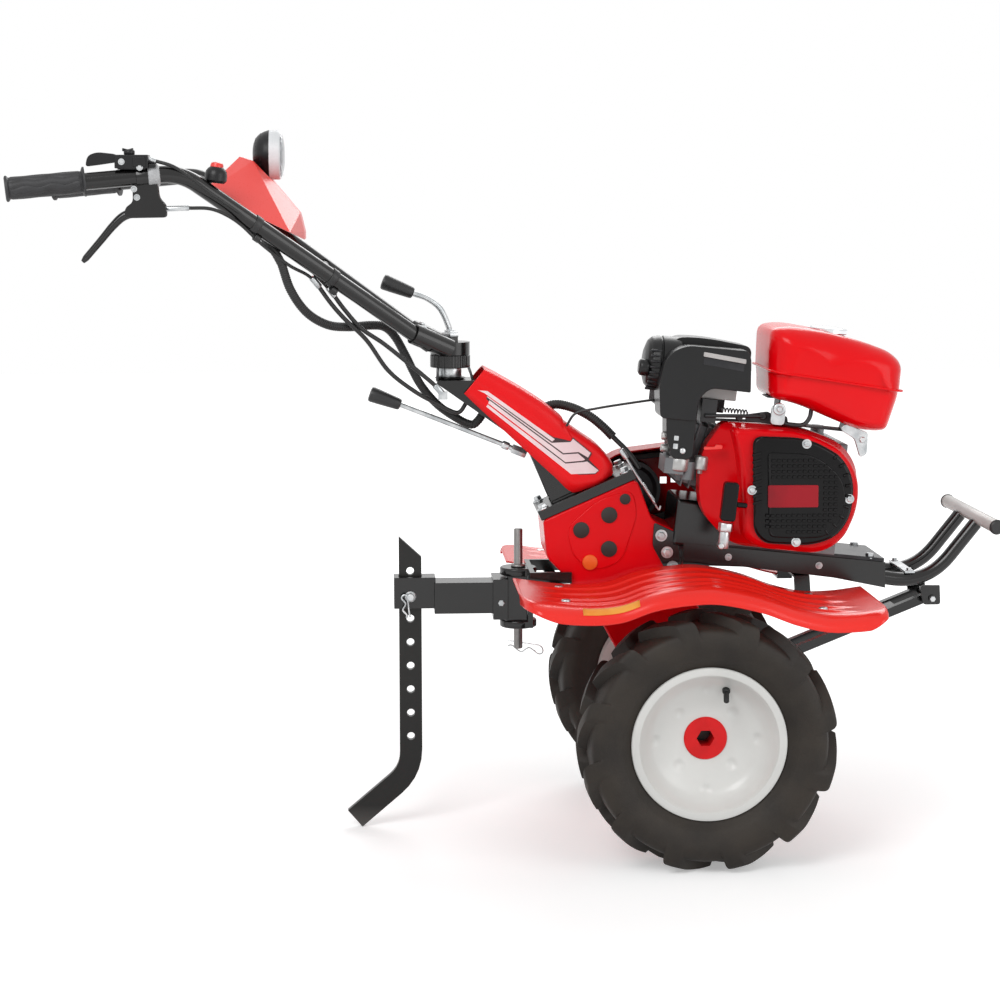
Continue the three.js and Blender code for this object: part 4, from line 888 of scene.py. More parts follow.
paddle = eased([(-67, 15, 5), (-64, 31, 8), (-50, 36, 8), (-22, 33, 6), (-18, 22, 4), (-44, 18, 8)], 5)
make("throttle_housing", [
    near_seat((-24, 24), (-16, 16), (12.6, 32)),
    slab(paddle + [seat[0], seat[2]], seat[1] - 5, seat[1] + 5),
    bar(seat + (-4, 0, 31), seat + (-4, 0, 39.8), 8, 28, 0.3),
    near_seat((-20, 20), (-15, 15), (11, 16)),
    bar(seat + (22, 0, 22), seat + (34, 2, 20), 4.5),
], lamp_plastic, "handlebar", ["throttle_control"], bevel=2.4, segments=3)
wing = slab(eased([(-14, 37), (-14, 42), (-6, 40), (2, 42), (2, 37)], 1.5) + [seat[0], seat[2]], seat[1] - 2,
            seat[1] + 2)
make("throttle_wing", [wing, near_seat((2, 20), (-17.5, -14), (15, 29)),
                       near_seat((24, 34), (-12, 6), (14, 19))],
     lamp_plastic, "handlebar", bevel=1)
make("throttle_screws", bolts([seat + (-14, -16, 22), seat + (12, -16, 14)], "-y", 5.5), zinc_plate,
     "handlebar")
make("tube_collar", [bar(along_grip(30, -1), along_grip(47, -1), TUBE_RADIUS + 3.6, 36, 0.12)], bezel_grey,
     "handlebar")

lever_seat = along_grip(46, -1)


def at_lever(x, z):
    """An offset from the clutch lever's seat on the tube, in the XZ plane."""
    return lever_seat[0] + x, lever_seat[2] + z


bracket_shape = eased([at_lever(-22, -12) + (3,), at_lever(14, -12) + (3,), at_lever(16, -32) + (6,),
                       at_lever(26, -42) + (6,), at_lever(26, -60) + (5,), at_lever(-34, -61) + (8,),
                       at_lever(-34, -46) + (8,), at_lever(-22, -38) + (6,)], 5)
make("clutch_bracket", [
    slab(bracket_shape, lever_seat[1] - 9, lever_seat[1] - 6.2),
    slab(bracket_shape, lever_seat[1] + 6.2, lever_seat[1] + 9),
    slab(eased([at_lever(-14, -40), at_lever(22, -44), at_lever(22, -58), at_lever(-14, -58)], 4),
         lever_seat[1] - 6.5, lever_seat[1] + 6.5),
    bar(along_grip(30, -1), along_grip(64, -1), TUBE_RADIUS + 2, 32, 0.06),
], black_enamel, "handlebar", ["clutch_lever"], bevel=0.8)
blade_line = smooth_line([at_lever(6, -52), at_lever(-16, -52), at_lever(-36, -58), at_lever(-52, -72),
                          at_lever(-70, -93), at_lever(-97, -124)], 60)
blade = np.column_stack([blade_line[:, 0], np.full(60, lever_seat[1]), blade_line[:, 1]])
blade_width = np.interp(np.linspace(0, 1, 60), [0, 0.3, 0.7, 0.97, 1], [6.2, 7, 5.6, 5, 3])
make("clutch_blade", [pipe(blade, blade_width, 20)], black_enamel, "handlebar")
pins = [(x, lever_seat[1] - 8.5, z) for x, z in (at_lever(-20, -19), at_lever(-16, -31))]
make("clutch_pins", bolts(pins, "-y", 5.5), zinc_plate, "handlebar")

# ---------------------------------------------------------------- hitch, tool carrier and coulter
# Two black hitch plates welded to a web take a plain steel pin with a spring clip. The square tube
# of the tool carrier hangs on it and holds the flat, drilled coulter bar with a cross pin.
HITCH_X, HITCH_TOP, HITCH_BOTTOM = -268, 428, 334
CARRIER_Z, COULTER_X = 383, -441
refined("hitch_bracket", "hitch_weldment", black_enamel, "chassis", 1.4)
refined("tool_carrier", "carrier_tube", black_enamel, "chassis", 2.2)
PIN_TOP, PIN_LOW = 491, 296
pin_steel = finish("pin_steel", "#9a9896", "#7d7b7a", 0.34, patch=24, grain=400, relief=0.12, metallic=0.8)
make("hitch_pin_bar", [bar((HITCH_X, 0, PIN_LOW), (HITCH_X, 0, PIN_TOP), 7, 32, 0.25),
                       bar((HITCH_X, 0, HITCH_TOP + 0.3), (HITCH_X, 0, HITCH_TOP + 6), 12, 32, 0.2)],
     pin_steel, "chassis", ["hitch_pin"])
make("coulter_bolt", [bar((COULTER_X, -31, CARRIER_Z + 3), (COULTER_X, 28, CARRIER_Z + 3), 6, 28, 0.2),
                      bar((COULTER_X, -24, CARRIER_Z + 3), (COULTER_X, -20.5, CARRIER_Z + 3), 9, 28, 0.2)],
     zinc_plate, "chassis", ["coulter_pin"])


def spring_clip(start, forward, up, size, wire=1.1):
    """A wire clip in one plane: a straight leg through the pin, a round eye at its end and a wavy
    leg back, whose height swings as a sine."""
    start, forward, up = (np.asarray(v, float) for v in (start, forward, up))
    leg = np.linspace(-0.9, 1.0, 20)[:, None] * forward * size
    turn = np.linspace(-pi / 2, pi * 0.9, 24)[:, None]
    eye = (1.0 + 0.28 * np.cos(turn)) * forward * size + (0.28 + 0.28 * np.sin(turn)) * up * size
    back = np.linspace(0.72, -0.9, 30)[:, None]
    wave = (0.42 + 0.16 * np.sin((back - 0.72) * 5.5)) * up * size
    return pipe(start + np.concatenate([leg, eye, back * forward * size + wave]), wire, 8)


make("hitch_clips", [spring_clip((HITCH_X + 6, 0, 305), (0.98, -0.2, -0.12), (0.1, -0.3, -0.95), 26),
                     spring_clip((COULTER_X - 3, -28, CARRIER_Z - 14), (-0.12, 0, 0.99), (-0.95, 0, -0.12),
                                 17, 1.4)],
     zinc_plate, "chassis")
carrier_screw = bar((-297, -31, 376), (-297, -24, 376), 4, 20, 0.1)
make("carrier_screw", hexagon_bolt((-297, -29, 376), "-y", 9) + [carrier_screw], zinc_plate, "chassis")
hitch_discs = [bar((HITCH_X, 0, HITCH_TOP - 11), (HITCH_X, 0, HITCH_TOP + 1.2), 29.4, 64, 0.06),
               bar((HITCH_X, 0, HITCH_BOTTOM - 1.2), (HITCH_X, 0, HITCH_BOTTOM + 11), 29.4, 64, 0.06)]
make("hitch_discs", hitch_discs, black_enamel, "chassis")

coulter_enamel = finish("coulter_enamel", "#1b1a18", "#11100f", 0.36, patch=5, grain=240, relief=0.25,
                        spread=0.12, bump_depth=0.0006, specular=0.34)
refined("coulter", "coulter_bar", coulter_enamel, "chassis", 0.9)
# The foot has lost its enamel where it drags: the finish turns to bare steel near the ground.
tree = coulter_enamel.node_tree
height = shader_node(tree, "SeparateXYZ", {0: shader_node(tree, "TexCoord").outputs["Object"]}).outputs["Z"]
near_ground = shader_node(tree, "MapRange", {"Value": height, "From Min": 0.035, "From Max": 0.002,
                                             "To Max": 0.5})
bare = shader_node(tree, "Mix", {"B": linear("#6b6865"), "Factor": near_ground.outputs["Result"],
                                 "A": tree.nodes["colours"].outputs["Color"]}, data_type="RGBA")
feed(tree, tree.nodes["Principled BSDF"], {"Base Color": bare.outputs["Result"]})

# ---------------------------------------------------------------- engine frame and bumper
# Two folded steel channels in black enamel carry the engine. Two bent tubes run out from under
# them to a cross bar with plastic end caps, tied by a zinc strap with two screws.
refined("engine_frame", "frame_channels", black_enamel, "chassis", 1.2)
RAIL_SPAN, BUMPER_X, BUMPER_Z, BUMPER_TUBE, BUMPER_BAR = 48, 466, 508, 11, 10.8
BUMPER_HALF = 150
tube_lines = [bent_line((240, y, 435.5 - BUMPER_TUBE), (384, y, 414 - BUMPER_TUBE),
                        (BUMPER_X - 6, y, BUMPER_Z - 8), 58)
              for y in (RAIL_SPAN, -RAIL_SPAN)]
make("bumper_tubes", [pipe(line, BUMPER_TUBE, 28) for line in tube_lines], black_enamel, "chassis",
     ["bumper"])
grey_enamel = finish("grey_enamel", "#c4c2be", "#b4b2af", 0.38, patch=10, grain=300, relief=0.15)
make("bumper_bar", [bar((BUMPER_X, 2 - BUMPER_HALF, BUMPER_Z), (BUMPER_X, BUMPER_HALF - 2, BUMPER_Z),
                        BUMPER_BAR, 40, 0.05)], grey_enamel, "chassis")
make("bumper_caps", [bar((BUMPER_X, s * (BUMPER_HALF - 7), BUMPER_Z), (BUMPER_X, s * BUMPER_HALF, BUMPER_Z),
                         11.9, 36, 0.25) for s in (1, -1)], knob_plastic, "chassis")
strap = [slab(eased([(346, 421), (362, 421), (362, 424.5), (346, 424.5)], 0.8), -56, 56)]
make("bumper_strap_plate", strap, zinc_plate, "chassis", ["bumper_strap"], bevel=0.6)
make("bumper_strap_screws", bolts([(354, -RAIL_SPAN, 424.4), (354, RAIL_SPAN, 424.4)], "z", 7), zinc_plate,
     "chassis")
make("frame_screws", bolts([(205, -66, 437), (60, -66, 452)], "-y", 6.5)
     + bolts([(205, 66, 437), (60, 66, 452)], "y", 6.5), zinc_plate, "chassis")

# ---------------------------------------------------------------- folding stand
# A fork of square steel bar in black enamel that turns on a cross pin in two lugs under the bumper,
# with a foot strip across its end.
refined("stand", "stand_fork", black_enamel, "front_stand", 1.6)
refined("stand_bracket", "stand_lugs", black_enamel, "chassis", 0.8)
STAND_X, STAND_Z = 392, 379
make("stand_nuts", [bar((STAND_X, y * 0.97, STAND_Z), (STAND_X, y * 1.06, STAND_Z), 5, 6, 0.15)
                    for y in (-54, 54)], zinc_plate, "chassis")

# ---------------------------------------------------------------- fenders and their stays
# Glossy red moulded guards over the tyres, waved from front to rear, with four long ridges, a
# rolled outer lip and rounded corners, screwed to two black straps.
fender_plastic = finish("fender_plastic", "#f42a20", "#ec2218", 0.24, patch=4, grain=520, relief=0.04,
                        specular=0.4)
label_film = finish("label_film", "#f2a33a", "#ee8f2a", 0.45, patch=30, grain=400, relief=0.05)
FENDER_OUT, FENDER_IN, FENDER_WALL, LIP_WIDE = 298, 80, 2.6, 30
fender_line = smooth_line([(-282, 425), (-200, 415), (-139, 417), (-87, 434), (-37, 442), (11, 443),
                           (73, 430), (125, 411), (173, 400), (221, 400), (269, 406)], 160)


def fender_skin(side, lines=96):
    """The waved line carried across the machine. Height is the line's own, plus four ridges that
    are squared cosines across, less a quarter ellipse down at the outer lip. Near both ends the
    outer edge draws in along a quarter ellipse, which rounds the corners."""
    x = fender_line[:, 0][:, None]
    z = fender_line[:, 1][:, None]
    share = np.linspace(0, 1, lines)[None, :]
    rear, front = x[0, 0], x[-1, 0]
    lip = 24 - 11 * (1 - smooth_step(x, rear, rear + 60)) - 12 * smooth_step(x, front - 34, front)
    inset = 62 * (1 - np.sqrt(1 - np.clip(1 - (x - rear) / 34, 0, 1) ** 2))
    inset = inset + 26 * (1 - np.sqrt(1 - np.clip(1 - (front - x) / 20, 0, 1) ** 2))
    flat_end = FENDER_OUT - LIP_WIDE - inset
    bend_from = 0.8
    across = FENDER_IN + (flat_end - FENDER_IN) * np.minimum(share / bend_from, 1)
    turn = np.clip((share - bend_from) / (1 - bend_from), 0, 1) * pi / 2
    y = across + (LIP_WIDE - 0.4) * np.sin(turn)
    drop = lip * (1 - np.cos(turn))
    ridges = sum(np.cos(np.clip((y - middle) / 9, -1, 1) * pi / 2) ** 2 for middle in (130, 176, 222, 256))
    fade = smooth_step(x, rear + 20, rear + 90) * (1 - smooth_step(x, front - 90, front - 30))
    height = z - 0.4 + 3.4 * ridges * fade - drop
    points = np.stack([np.broadcast_to(x, y.shape), side * y, height], -1)
    return points.reshape(-1, 3), grid_faces(len(fender_line), lines)


for side_name, side in SIDES:
    guard = make(f"fender_moulding_{side_name}", [fender_skin(side)], fender_plastic, "chassis",
                 [f"fender_{side_name}"], sharp=50)
    thicken(guard, FENDER_WALL)
    screws = []
    for x, y in ((-213, 120), (-213, 236), (177, 120), (177, 236)):
        z = float(np.interp(x, fender_line[:, 0], fender_line[:, 1]))
        screws.append(button((x, side * y, z - 0.5), "z", 7, 3.2, 0.6))
    make(f"fender_screws_{side_name}", screws, zinc_plate, "chassis")
    # A blank warning strip follows the guard's slope near its rear edge.
    strip_x = np.linspace(-192, -108, 12)[:, None]
    strip_turn = np.linspace(radians(24), radians(54), 8)[None, :]
    strip_y = FENDER_OUT - LIP_WIDE + (LIP_WIDE + 0.5) * np.sin(strip_turn)
    strip_z = np.interp(strip_x, fender_line[:, 0], fender_line[:, 1]) + 0.3 - 24 * (1 - np.cos(strip_turn))
    strip = np.stack(np.broadcast_arrays(strip_x, side * strip_y, strip_z), -1).reshape(-1, 3)
    label = make(f"fender_strip_{side_name}", [(strip, grid_faces(12, 8))], label_film, "chassis")
    thicken(label, 0.8)
refined("fender_stay_front", "front_strap", black_enamel, "chassis", 0.8)
refined("fender_stay_rear", "rear_strap", black_enamel, "chassis", 0.8)

# ---------------------------------------------------------------- engine block and its mount
# A cast alloy crankcase with a finned cylinder that leans to the rear, bolted through a zinc plate
# to the frame. The engine sits nose down, so its pieces are laid out about the crankshaft.
cast_alloy = finish("cast_alloy", "#77797b", "#67696b", 0.5, patch=16, grain=420, relief=0.35, spread=0.06,
                    metallic=0.75, bump_depth=0.0008)
dark_steel = finish("dark_steel", "#3a3a3c", "#262628", 0.4, patch=18, relief=0.2, metallic=0.7)
ENGINE_X, ENGINE_Z, ENGINE_TILT = 150, 571, radians(6)
NEAR_FACE, FAN_BACK = -170, -88


def engine_points(points):
    """Points about the crankshaft, turned nose down by the engine's tilt into the machine."""
    p = np.asarray(points, float)
    x = ENGINE_X + p[..., 0] * cos(ENGINE_TILT) + p[..., 2] * sin(ENGINE_TILT)
    z = ENGINE_Z - p[..., 0] * sin(ENGINE_TILT) + p[..., 2] * cos(ENGINE_TILT)
    return np.stack([x, p[..., 1], z], -1)


def on_engine(*shapes):
    """Shapes laid out about the crankshaft, in their place on the machine."""
    return [(engine_points(points), faces) for points, faces in shapes]


refined("engine_block", "crankcase", cast_alloy, "chassis", 3)
refined("engine_mount_plate", "mount_plate", dark_steel, "chassis", 1)
# The crankcase's foot is a block in black enamel, not cast alloy: painted shade for the dark under the
# engine.
make("crankcase_foot", on_engine(block((-168, -86), (-66, 60), (-118, -44))), black_enamel, "chassis",
     bevel=6, segments=4)
fins = []
lean = radians(12)
for middle in range(-160, -55, 13):
    p, faces = block((middle - 1.4, middle + 1.4), (-76, 68), (-56, 50))
    fins.append((np.stack([p[:, 0] * cos(lean) + p[:, 2] * sin(lean), p[:, 1],
                           -p[:, 0] * sin(lean) + p[:, 2] * cos(lean)], -1), faces))
case_ribs = [block((82, 89), (-70, 66), (z - 1.6, z + 1.6)) for z in range(-84, 64, 21)]
case_ribs += [block((-70, 70), (y - 1.6, y + 1.6), (66, 73)) for y in range(-60, 70, 20)]
case_ribs.append(bar((62, 40, 60), (62, 40, 86), 11, 24, 0.2))
make("crankcase_ribs", on_engine(*case_ribs), cast_alloy, "chassis", bevel=0.8)
make("cylinder_fins", on_engine(*fins), cast_alloy, "chassis", bevel=0.5, segments=1)
mount_screws = bolts([(x, y, -109) for x in (-80, 150) for y in (-56, 56)], "z", 12)
make("mount_screws", on_engine(*mount_screws), zinc_plate, "chassis")

# ---------------------------------------------------------------- fan housing and recoil starter
# A deep pressed housing in glossy red with a bulge behind, and on it a black recoil cover with
# louvres, a raised panel of small cells, a blank badge, four screws and a pull handle. The zinc
# engine switch stands at the housing's lower rear corner.
recoil_plastic = finish("recoil_plastic", "#0c0b0c", "#070607", 0.22, patch=14, grain=520, relief=0.06,
                        specular=0.2)
badge_red = finish("badge_red", "#9c0a1c", "#7c0616", 0.35, patch=14, relief=0.05, specular=0.3)
fan_outline = eased([(-120, 90, 14), (0, 94, 60), (68, 74, 40), (97, 38, 30), (99, -22, 40), (84, -74, 30),
                     (50, -99, 30), (-86, -99, 24), (-142, -50, 30), (-151, 38, 24)], 20, 9)
front_outline = eased([(-114, 86, 12), (-2, 90, 60), (64, 66, 40), (92, 28, 30), (96, -20, 40), (80, -70, 30),
                       (46, -95, 30), (-50, -95, 20), (-76, -80, 14), (-97, 42, 20)], 20, 9)


def rings_at(levels):
    """The points of (outline, y) levels that all have the same number of points, ring by ring."""
    return np.stack([np.column_stack([o[:, 0], np.full(len(o), y), o[:, 1]]) for o, y in levels])


def drawn_shell(rear_outline, front_outline, rear_y, front_y, radius, rings=10):
    """Rings from the rear outline to the front one, straight at first, then drawn in round the
    front edge by a quarter circle, and last a flat front."""
    depth = front_y - rear_y
    sign = np.sign(depth)
    rear, front = np.asarray(rear_outline, float), np.asarray(front_outline, float)
    middle = front.mean(0)
    out = front - middle
    out /= np.linalg.norm(out, axis=1)[:, None]
    levels = [(rear, rear_y), (rear, rear_y + depth * 0.45), (front + out * 1.5, rear_y + depth * 0.62)]
    for turn in np.linspace(0, pi / 2, rings):
        levels.append((front - out * radius * (1 - cos(turn)), front_y - sign * radius * (1 - sin(turn))))
    return rings_at(levels).reshape(-1, 3), capped(len(levels), len(front))


make("fan_shroud", on_engine(drawn_shell(fan_outline, front_outline, FAN_BACK, NEAR_FACE, 12)), red_enamel,
     "chassis", ["fan_housing"], sharp=40)
recoil_outline = eased([(-81, 76, 16), (4, 81, 60), (58, 58, 34), (80, 24, 40), (82, -30, 40), (64, -64, 30),
                        (28, -80, 34), (-44, -84, 18), (-62, -68, 14)], 20, 9)
inner_outline = eased([(-55, 53, 6), (16, 57, 30), (60, 26, 30), (71, -8, 20), (66, -44, 20), (46, -64, 20),
                       (8, -70, 20), (-38, -72, 8)], 12, 9)
RECOIL_FRONT = NEAR_FACE - 10
make("recoil_pan", on_engine(drawn_shell(recoil_outline, recoil_outline, NEAR_FACE + 1, RECOIL_FRONT, 4, 6)),
     recoil_plastic, "chassis", ["recoil_cover"], sharp=40)
rim_line = rings_at([(inner_outline, RECOIL_FRONT - 0.4)])[0]
rim_line = np.concatenate([rim_line, rim_line[:2]])
recoil_detail = [slab(inner_outline, RECOIL_FRONT - 2.2, RECOIL_FRONT + 1), pipe(rim_line, 2.2, 10)]
# Louvres up the rear strip and along the front arc.
for i in range(8):
    z = 46 - i * 10.5
    x = -67 - 0.13 * z
    recoil_detail.append(slab([(x - 7, z), (x + 6, z + 5), (x + 6, z + 9), (x - 7, z + 4)],
                              RECOIL_FRONT - 2.4, RECOIL_FRONT + 1))
for i in range(9):
    turn = radians(50 - i * 12.5)
    near, far = [(r * cos(turn), RECOIL_FRONT - 0.8, 1.02 * r * sin(turn)) for r in (70, 79)]
    recoil_detail.append(bar(near, far, 2.4, 10, 0.2))
make("recoil_ribs", on_engine(*recoil_detail), recoil_plastic, "chassis", bevel=0.5,
     segments=1)
cells = []
TILT_SINE = 0.1045
for i in range(15):
    for j in range(15):
        # Rows lie level on the machine, so across the tilted panel they climb by its tilt.
        level, height = -50 + i * 8, -70 + j * 8.4
        x, z = level - TILT_SINE * height, height + TILT_SINE * level
        in_panel = (x < 20 or np.hypot((x - 20) / 42, (z + 8) / 56) < 1) and -64 < z < 50 and x > -50
        if in_panel and not (level < 36 and -31 < height < 15):
            cells.append(block((x - 2.9, x + 2.9), (RECOIL_FRONT - 4.4, RECOIL_FRONT - 1.6),
                               (z - 2.3, z + 2.3)))
make("recoil_cells", on_engine(*cells), recoil_plastic, "chassis", bevel=0.5,
     segments=1)
make("recoil_badge", on_engine(slab(eased([(-47, -29), (30, -21), (26, 13), (-51, 5)], 3), RECOIL_FRONT - 3.6,
                                    RECOIL_FRONT - 1)), badge_red, "chassis", bevel=0.5)
recoil_screws = [(x, RECOIL_FRONT + 0.5, z) for x, z in ((-74, -5), (1, 73.5), (77, -4), (3, -78))]
make("recoil_screws", on_engine(*bolts(recoil_screws, "-y", 8.5)), zinc_plate, "chassis")
make("pull_handle", on_engine(
    slab(eased([(-119, -55), (-96, -55), (-96, 5), (-119, 5)], 6), NEAR_FACE - 24, NEAR_FACE - 6),
    block((-97, -79), (NEAR_FACE - 18, NEAR_FACE - 8), (-33, -25)),
), recoil_plastic, "chassis", ["recoil_handle"], bevel=3, segments=3)
make("engine_switch", on_engine(
    bar((-103, -152, -102), (-103, -152, -74), 8.5, 28, 0.15),
    bar((-103, -152, -76), (-103, -152, -62), 11.5, 8, 0.12),
    bar((-108, -140, -98), (-108, -164, -98), 5, 6, 0.2),
), zinc_plate, "chassis", bevel=1.4)

# ---------------------------------------------------------------- air cleaner
# A black-grey moulded housing bent over the carburettor: a hood with a round filter drum behind, a
# leg down to the inlet, a dark plate as painted shade for a recess, a bright strip on its face and a grey
# outlet box.
filter_plastic = finish("filter_plastic", "#131314", "#0d0d0e", 0.32, grain=620, spread=0.05, specular=0.34)
pale_plastic = finish("pale_plastic", "#b9b6b4", "#a9a6a5", 0.45, patch=12, relief=0.1)
FILTER_NEAR, FILTER_FAR = -150, -38
filter_outline = eased([(-222, 88, 8), (-230, 142, 30), (-223, 184, 40), (-196, 202, 40), (-98, 203, 6),
                        (-93, 190, 6), (-88, 140, 3), (-152, 141, 22), (-167, 120, 10), (-167, 88, 4)], 8, 10)
hood_outline = eased([(-214, 142, 8), (-214, 210, 30), (-160, 214, 40), (-84, 207, 14), (-88, 142, 4)], 8, 9)
leg_outline = eased([(-213, 96, 2), (-166, 96, 2), (-165, 34, 5), (-172, 28, 4), (-196, 28, 5),
                     (-209, 60, 6)], 4)
DRUM_Z = 167
drum_line = np.linspace(-254, -200, 40)
drum_radius = np.interp(drum_line, [-254, -250, -244, -232, -231, -229, -228, -200],
                        [22, 34, 40, 43, 40, 40, 43, 43])
drum = np.column_stack([drum_line + 5, np.full(40, -82.0), np.full(40, DRUM_Z)])
make("filter_housing", on_engine(
    slab(filter_outline, FILTER_NEAR, -86),
    slab(hood_outline, -98, FILTER_FAR),
    slab(leg_outline, FILTER_NEAR + 4, FILTER_NEAR + 52),
), filter_plastic, "chassis", ["air_cleaner"], bevel=7, segments=5, sharp=30)
make("filter_drum", on_engine(pipe(drum, drum_radius, 56),
                              bar((-259, -110, 160), (-241, -110, 160), 13, 28, 0.3)),
     filter_plastic, "chassis")
drum_fins = []
for i in range(10):
    turn = radians(150 + i * 12)
    y, z = -82 + 41 * cos(turn), DRUM_Z + 41 * sin(turn)
    drum_fins.append(bar((-243, y, z), (-226, y, z), 2, 8, 0.3))
make("filter_fins", on_engine(*drum_fins), dark_steel, "chassis")
strip_outline = eased([(-167, 188), (-101, 183), (-101, 190), (-167, 195)], 1.5)
make("filter_strip", on_engine(slab(strip_outline, FILTER_NEAR - 1.6, FILTER_NEAR + 2)), pale_plastic,
     "chassis", bevel=0.5)
# The recess is not cut: a thin dark plate on the face paints its shade.
recess_outline = eased([(-166, 176), (-103, 171), (-103, 182), (-166, 187)], 1.5)
make("filter_recess_shade", on_engine(slab(recess_outline, FILTER_NEAR - 0.6, FILTER_NEAR + 2)), dark_steel,
     "chassis", bevel=0.3)
make("filter_outlet", on_engine(block((-160, -103), (FILTER_NEAR + 36, FILTER_FAR - 6), (122, 144))),
     pale_plastic, "chassis", bevel=2)
make("filter_marks", on_engine(
    slab(eased([(-197, 56), (-190, 56), (-190, 63), (-197, 63)], 1), FILTER_NEAR + 2.8, FILTER_NEAR + 6),
    slab(eased([(-197, 43), (-190, 43), (-190, 51), (-197, 51)], 1), FILTER_NEAR + 2.8, FILTER_NEAR + 6),
    button((-182, FILTER_NEAR + 4, 41), "-y", 5, 5, 0.5),
), zinc_plate, "chassis")

# ---------------------------------------------------------------- carburettor and controls
# Cast alloy body and float bowls under the filter, a red choke lever, the black governor linkage
# above the fan housing and a black fuel hose that loops down from the tank.
bowl_alloy = finish("bowl_alloy", "#b5b5b3", "#9b9b9a", 0.36, patch=24, grain=300, relief=0.2, metallic=0.7)
governor_black = finish("governor_black", "#202022", "#161618", 0.45, patch=30, relief=0.2)
refined("carburettor", "carburettor_body", cast_alloy, "chassis", 1.6)
make("float_bowls", on_engine(
    bar((-183, -130, 8), (-183, -130, 30), 16, 32, 0.2),
    bar((-148, -124, 12), (-148, -124, 34), 11, 32, 0.2),
    bar((-183, -130, 2), (-183, -130, 10), 5, 6, 0.2),
    bar((-148, -124, 6), (-148, -124, 14), 4, 6, 0.2),
    bar((-214, -128, 60), (-206, -128, 60), 7),
    bar((-212, -120, 40), (-200, -120, 40), 6),
), bowl_alloy, "chassis")
make("choke_lever", on_engine(
    slab(eased([(-150, 46), (-122, 50), (-122, 56), (-132, 56), (-134, 52), (-150, 51)], 2), -152, -146),
), dash_plastic, "chassis", bevel=1)
linkage = [
    slab(eased([(-86, 94), (-18, 92), (-22, 108), (-40, 104), (-52, 112), (-86, 104)], 4), -120, -116),
    bar((-150, -122, 96), (-60, -122, 104), 3, 12, 0.2),
    bar((-150, -116, 90), (-40, -116, 97), 2.2, 12, 0.2),
    bar((-60, -124, 104), (-60, -112, 104), 6, 16, 0.2),
    bar((-96, -124, 98), (-96, -112, 98), 5, 16, 0.2),
    block((-156, -132), (-120, -86), (86, 122)),
]
make("governor_linkage", on_engine(*linkage), governor_black, "chassis", bevel=0.8)
coil_turns = np.linspace(0, 2 * pi * 9, 240)
spring_line = np.column_stack([-128 + coil_turns / (2 * pi * 9) * 44, -124 + 3 * np.cos(coil_turns),
                               108 + 3 * np.sin(coil_turns)])
make("governor_spring", on_engine(pipe(spring_line, 1.1, 6)), governor_black, "chassis")
hose = smooth_line([(12, -130, 122), (10, -134, 110), (2, -136, 99), (-14, -136, 96), (-30, -134, 98),
                    (-44, -130, 104)], 40)
make("fuel_hose", on_engine(pipe(hose, 3.4, 14)), governor_black, "chassis")

# ---------------------------------------------------------------- fuel tank
# Two pressed halves in glossy red, seam-welded all round at mid height, on a dark cradle and zinc
# brackets with screws, under a chromed cap with a rubber seal. Its sides are bare.
TANK_NEAR, TANK_FAR = -168, 20
tank_outline = eased([(-62, 176, 6), (-67, 240, 34), (-36, 247, 24), (4, 245, 40), (72, 236, 40),
                      (122, 223, 36), (143, 206, 22), (143, 158, 12), (131, 103, 18), (116, 99, 12),
                      (90, 99, 14), (58, 107, 20), (-12, 129, 24), (-56, 134, 16), (-59, 160, 8)], 20, 9)
tank_enamel = finish("tank_enamel", "#ee0410", "#e5020b", 0.2, patch=3, grain=240, relief=0.02, spread=0.03,
                     coat=0.06, bump_depth=0.0002, specular=0.18)


def seam_height(x):
    """The seam runs straight, and falls by a twentieth towards the front."""
    return 173.5 - 0.05 * x


def tank_shell(outline, near, far, depth, low, high, rings=12):
    """The outline carried across the tank. Over the last `depth` at each side it shrinks towards
    its middle along a quarter ellipse, by `low` at the bottom and by `high` at the rounder top.
    Below the seam the width is less by a thirteenth."""
    middle = np.array([27.0, 180.0])
    outline = np.asarray(outline, float)
    way = outline - middle
    size = np.linalg.norm(way, axis=1)[:, None]
    most = low + (high - low) * smooth_step(outline[:, 1:], 150, 225)
    levels = []
    for end, inward in ((near, 1), (far, -1)):
        side = []
        for t in np.linspace(0, pi / 2, rings):
            shrink = most * (1 - sin(t))
            side.append((middle + way * (1 - shrink / size), end + inward * depth * (1 - cos(t))))
        levels += side if inward > 0 else side[::-1]
    points = rings_at(levels)
    below = 1 - smooth_step(points[..., 2], seam_height(points[..., 0]) - 4, seam_height(points[..., 0]) - 1)
    centre = (near + far) / 2
    points[..., 1] = centre + (points[..., 1] - centre) * (1 - 0.075 * below)
    return points.reshape(-1, 3), capped(len(levels), len(outline))


make("tank_halves", on_engine(tank_shell(tank_outline, TANK_NEAR, TANK_FAR, 40, 24, 50)), tank_enamel,
     "chassis", ["fuel_tank"], sharp=40)


def seam_ring(outline, level, out, near, far, radius):
    """A rectangle round the tank at one height, whose front and rear ends lie `out` beyond where
    the outline crosses that height, with its corners eased."""
    p = np.asarray(outline, float)
    above = p[:, 1] > level
    crossing = np.where(above != np.roll(above, -1))[0]
    ends = []
    for i in crossing:
        a, b = p[i], p[(i + 1) % len(p)]
        ends.append(a[0] + (level - a[1]) / (b[1] - a[1]) * (b[0] - a[0]))
    low, high = min(ends) - out, max(ends) + out
    return eased([(low, near - out), (high, near - out), (high, far + out), (low, far + out)], radius, 14)


flange_ring = seam_ring(tank_outline, 171, 3.5, TANK_NEAR, TANK_FAR, 30)


def flat_ring(ring, thick):
    """A flat plate with the ring as its outline, `thick` high about the seam's height."""
    z = seam_height(ring[:, 0])
    points = np.concatenate([np.column_stack([ring, z - thick / 2]), np.column_stack([ring, z + thick / 2])])
    return points, capped(2, len(ring))


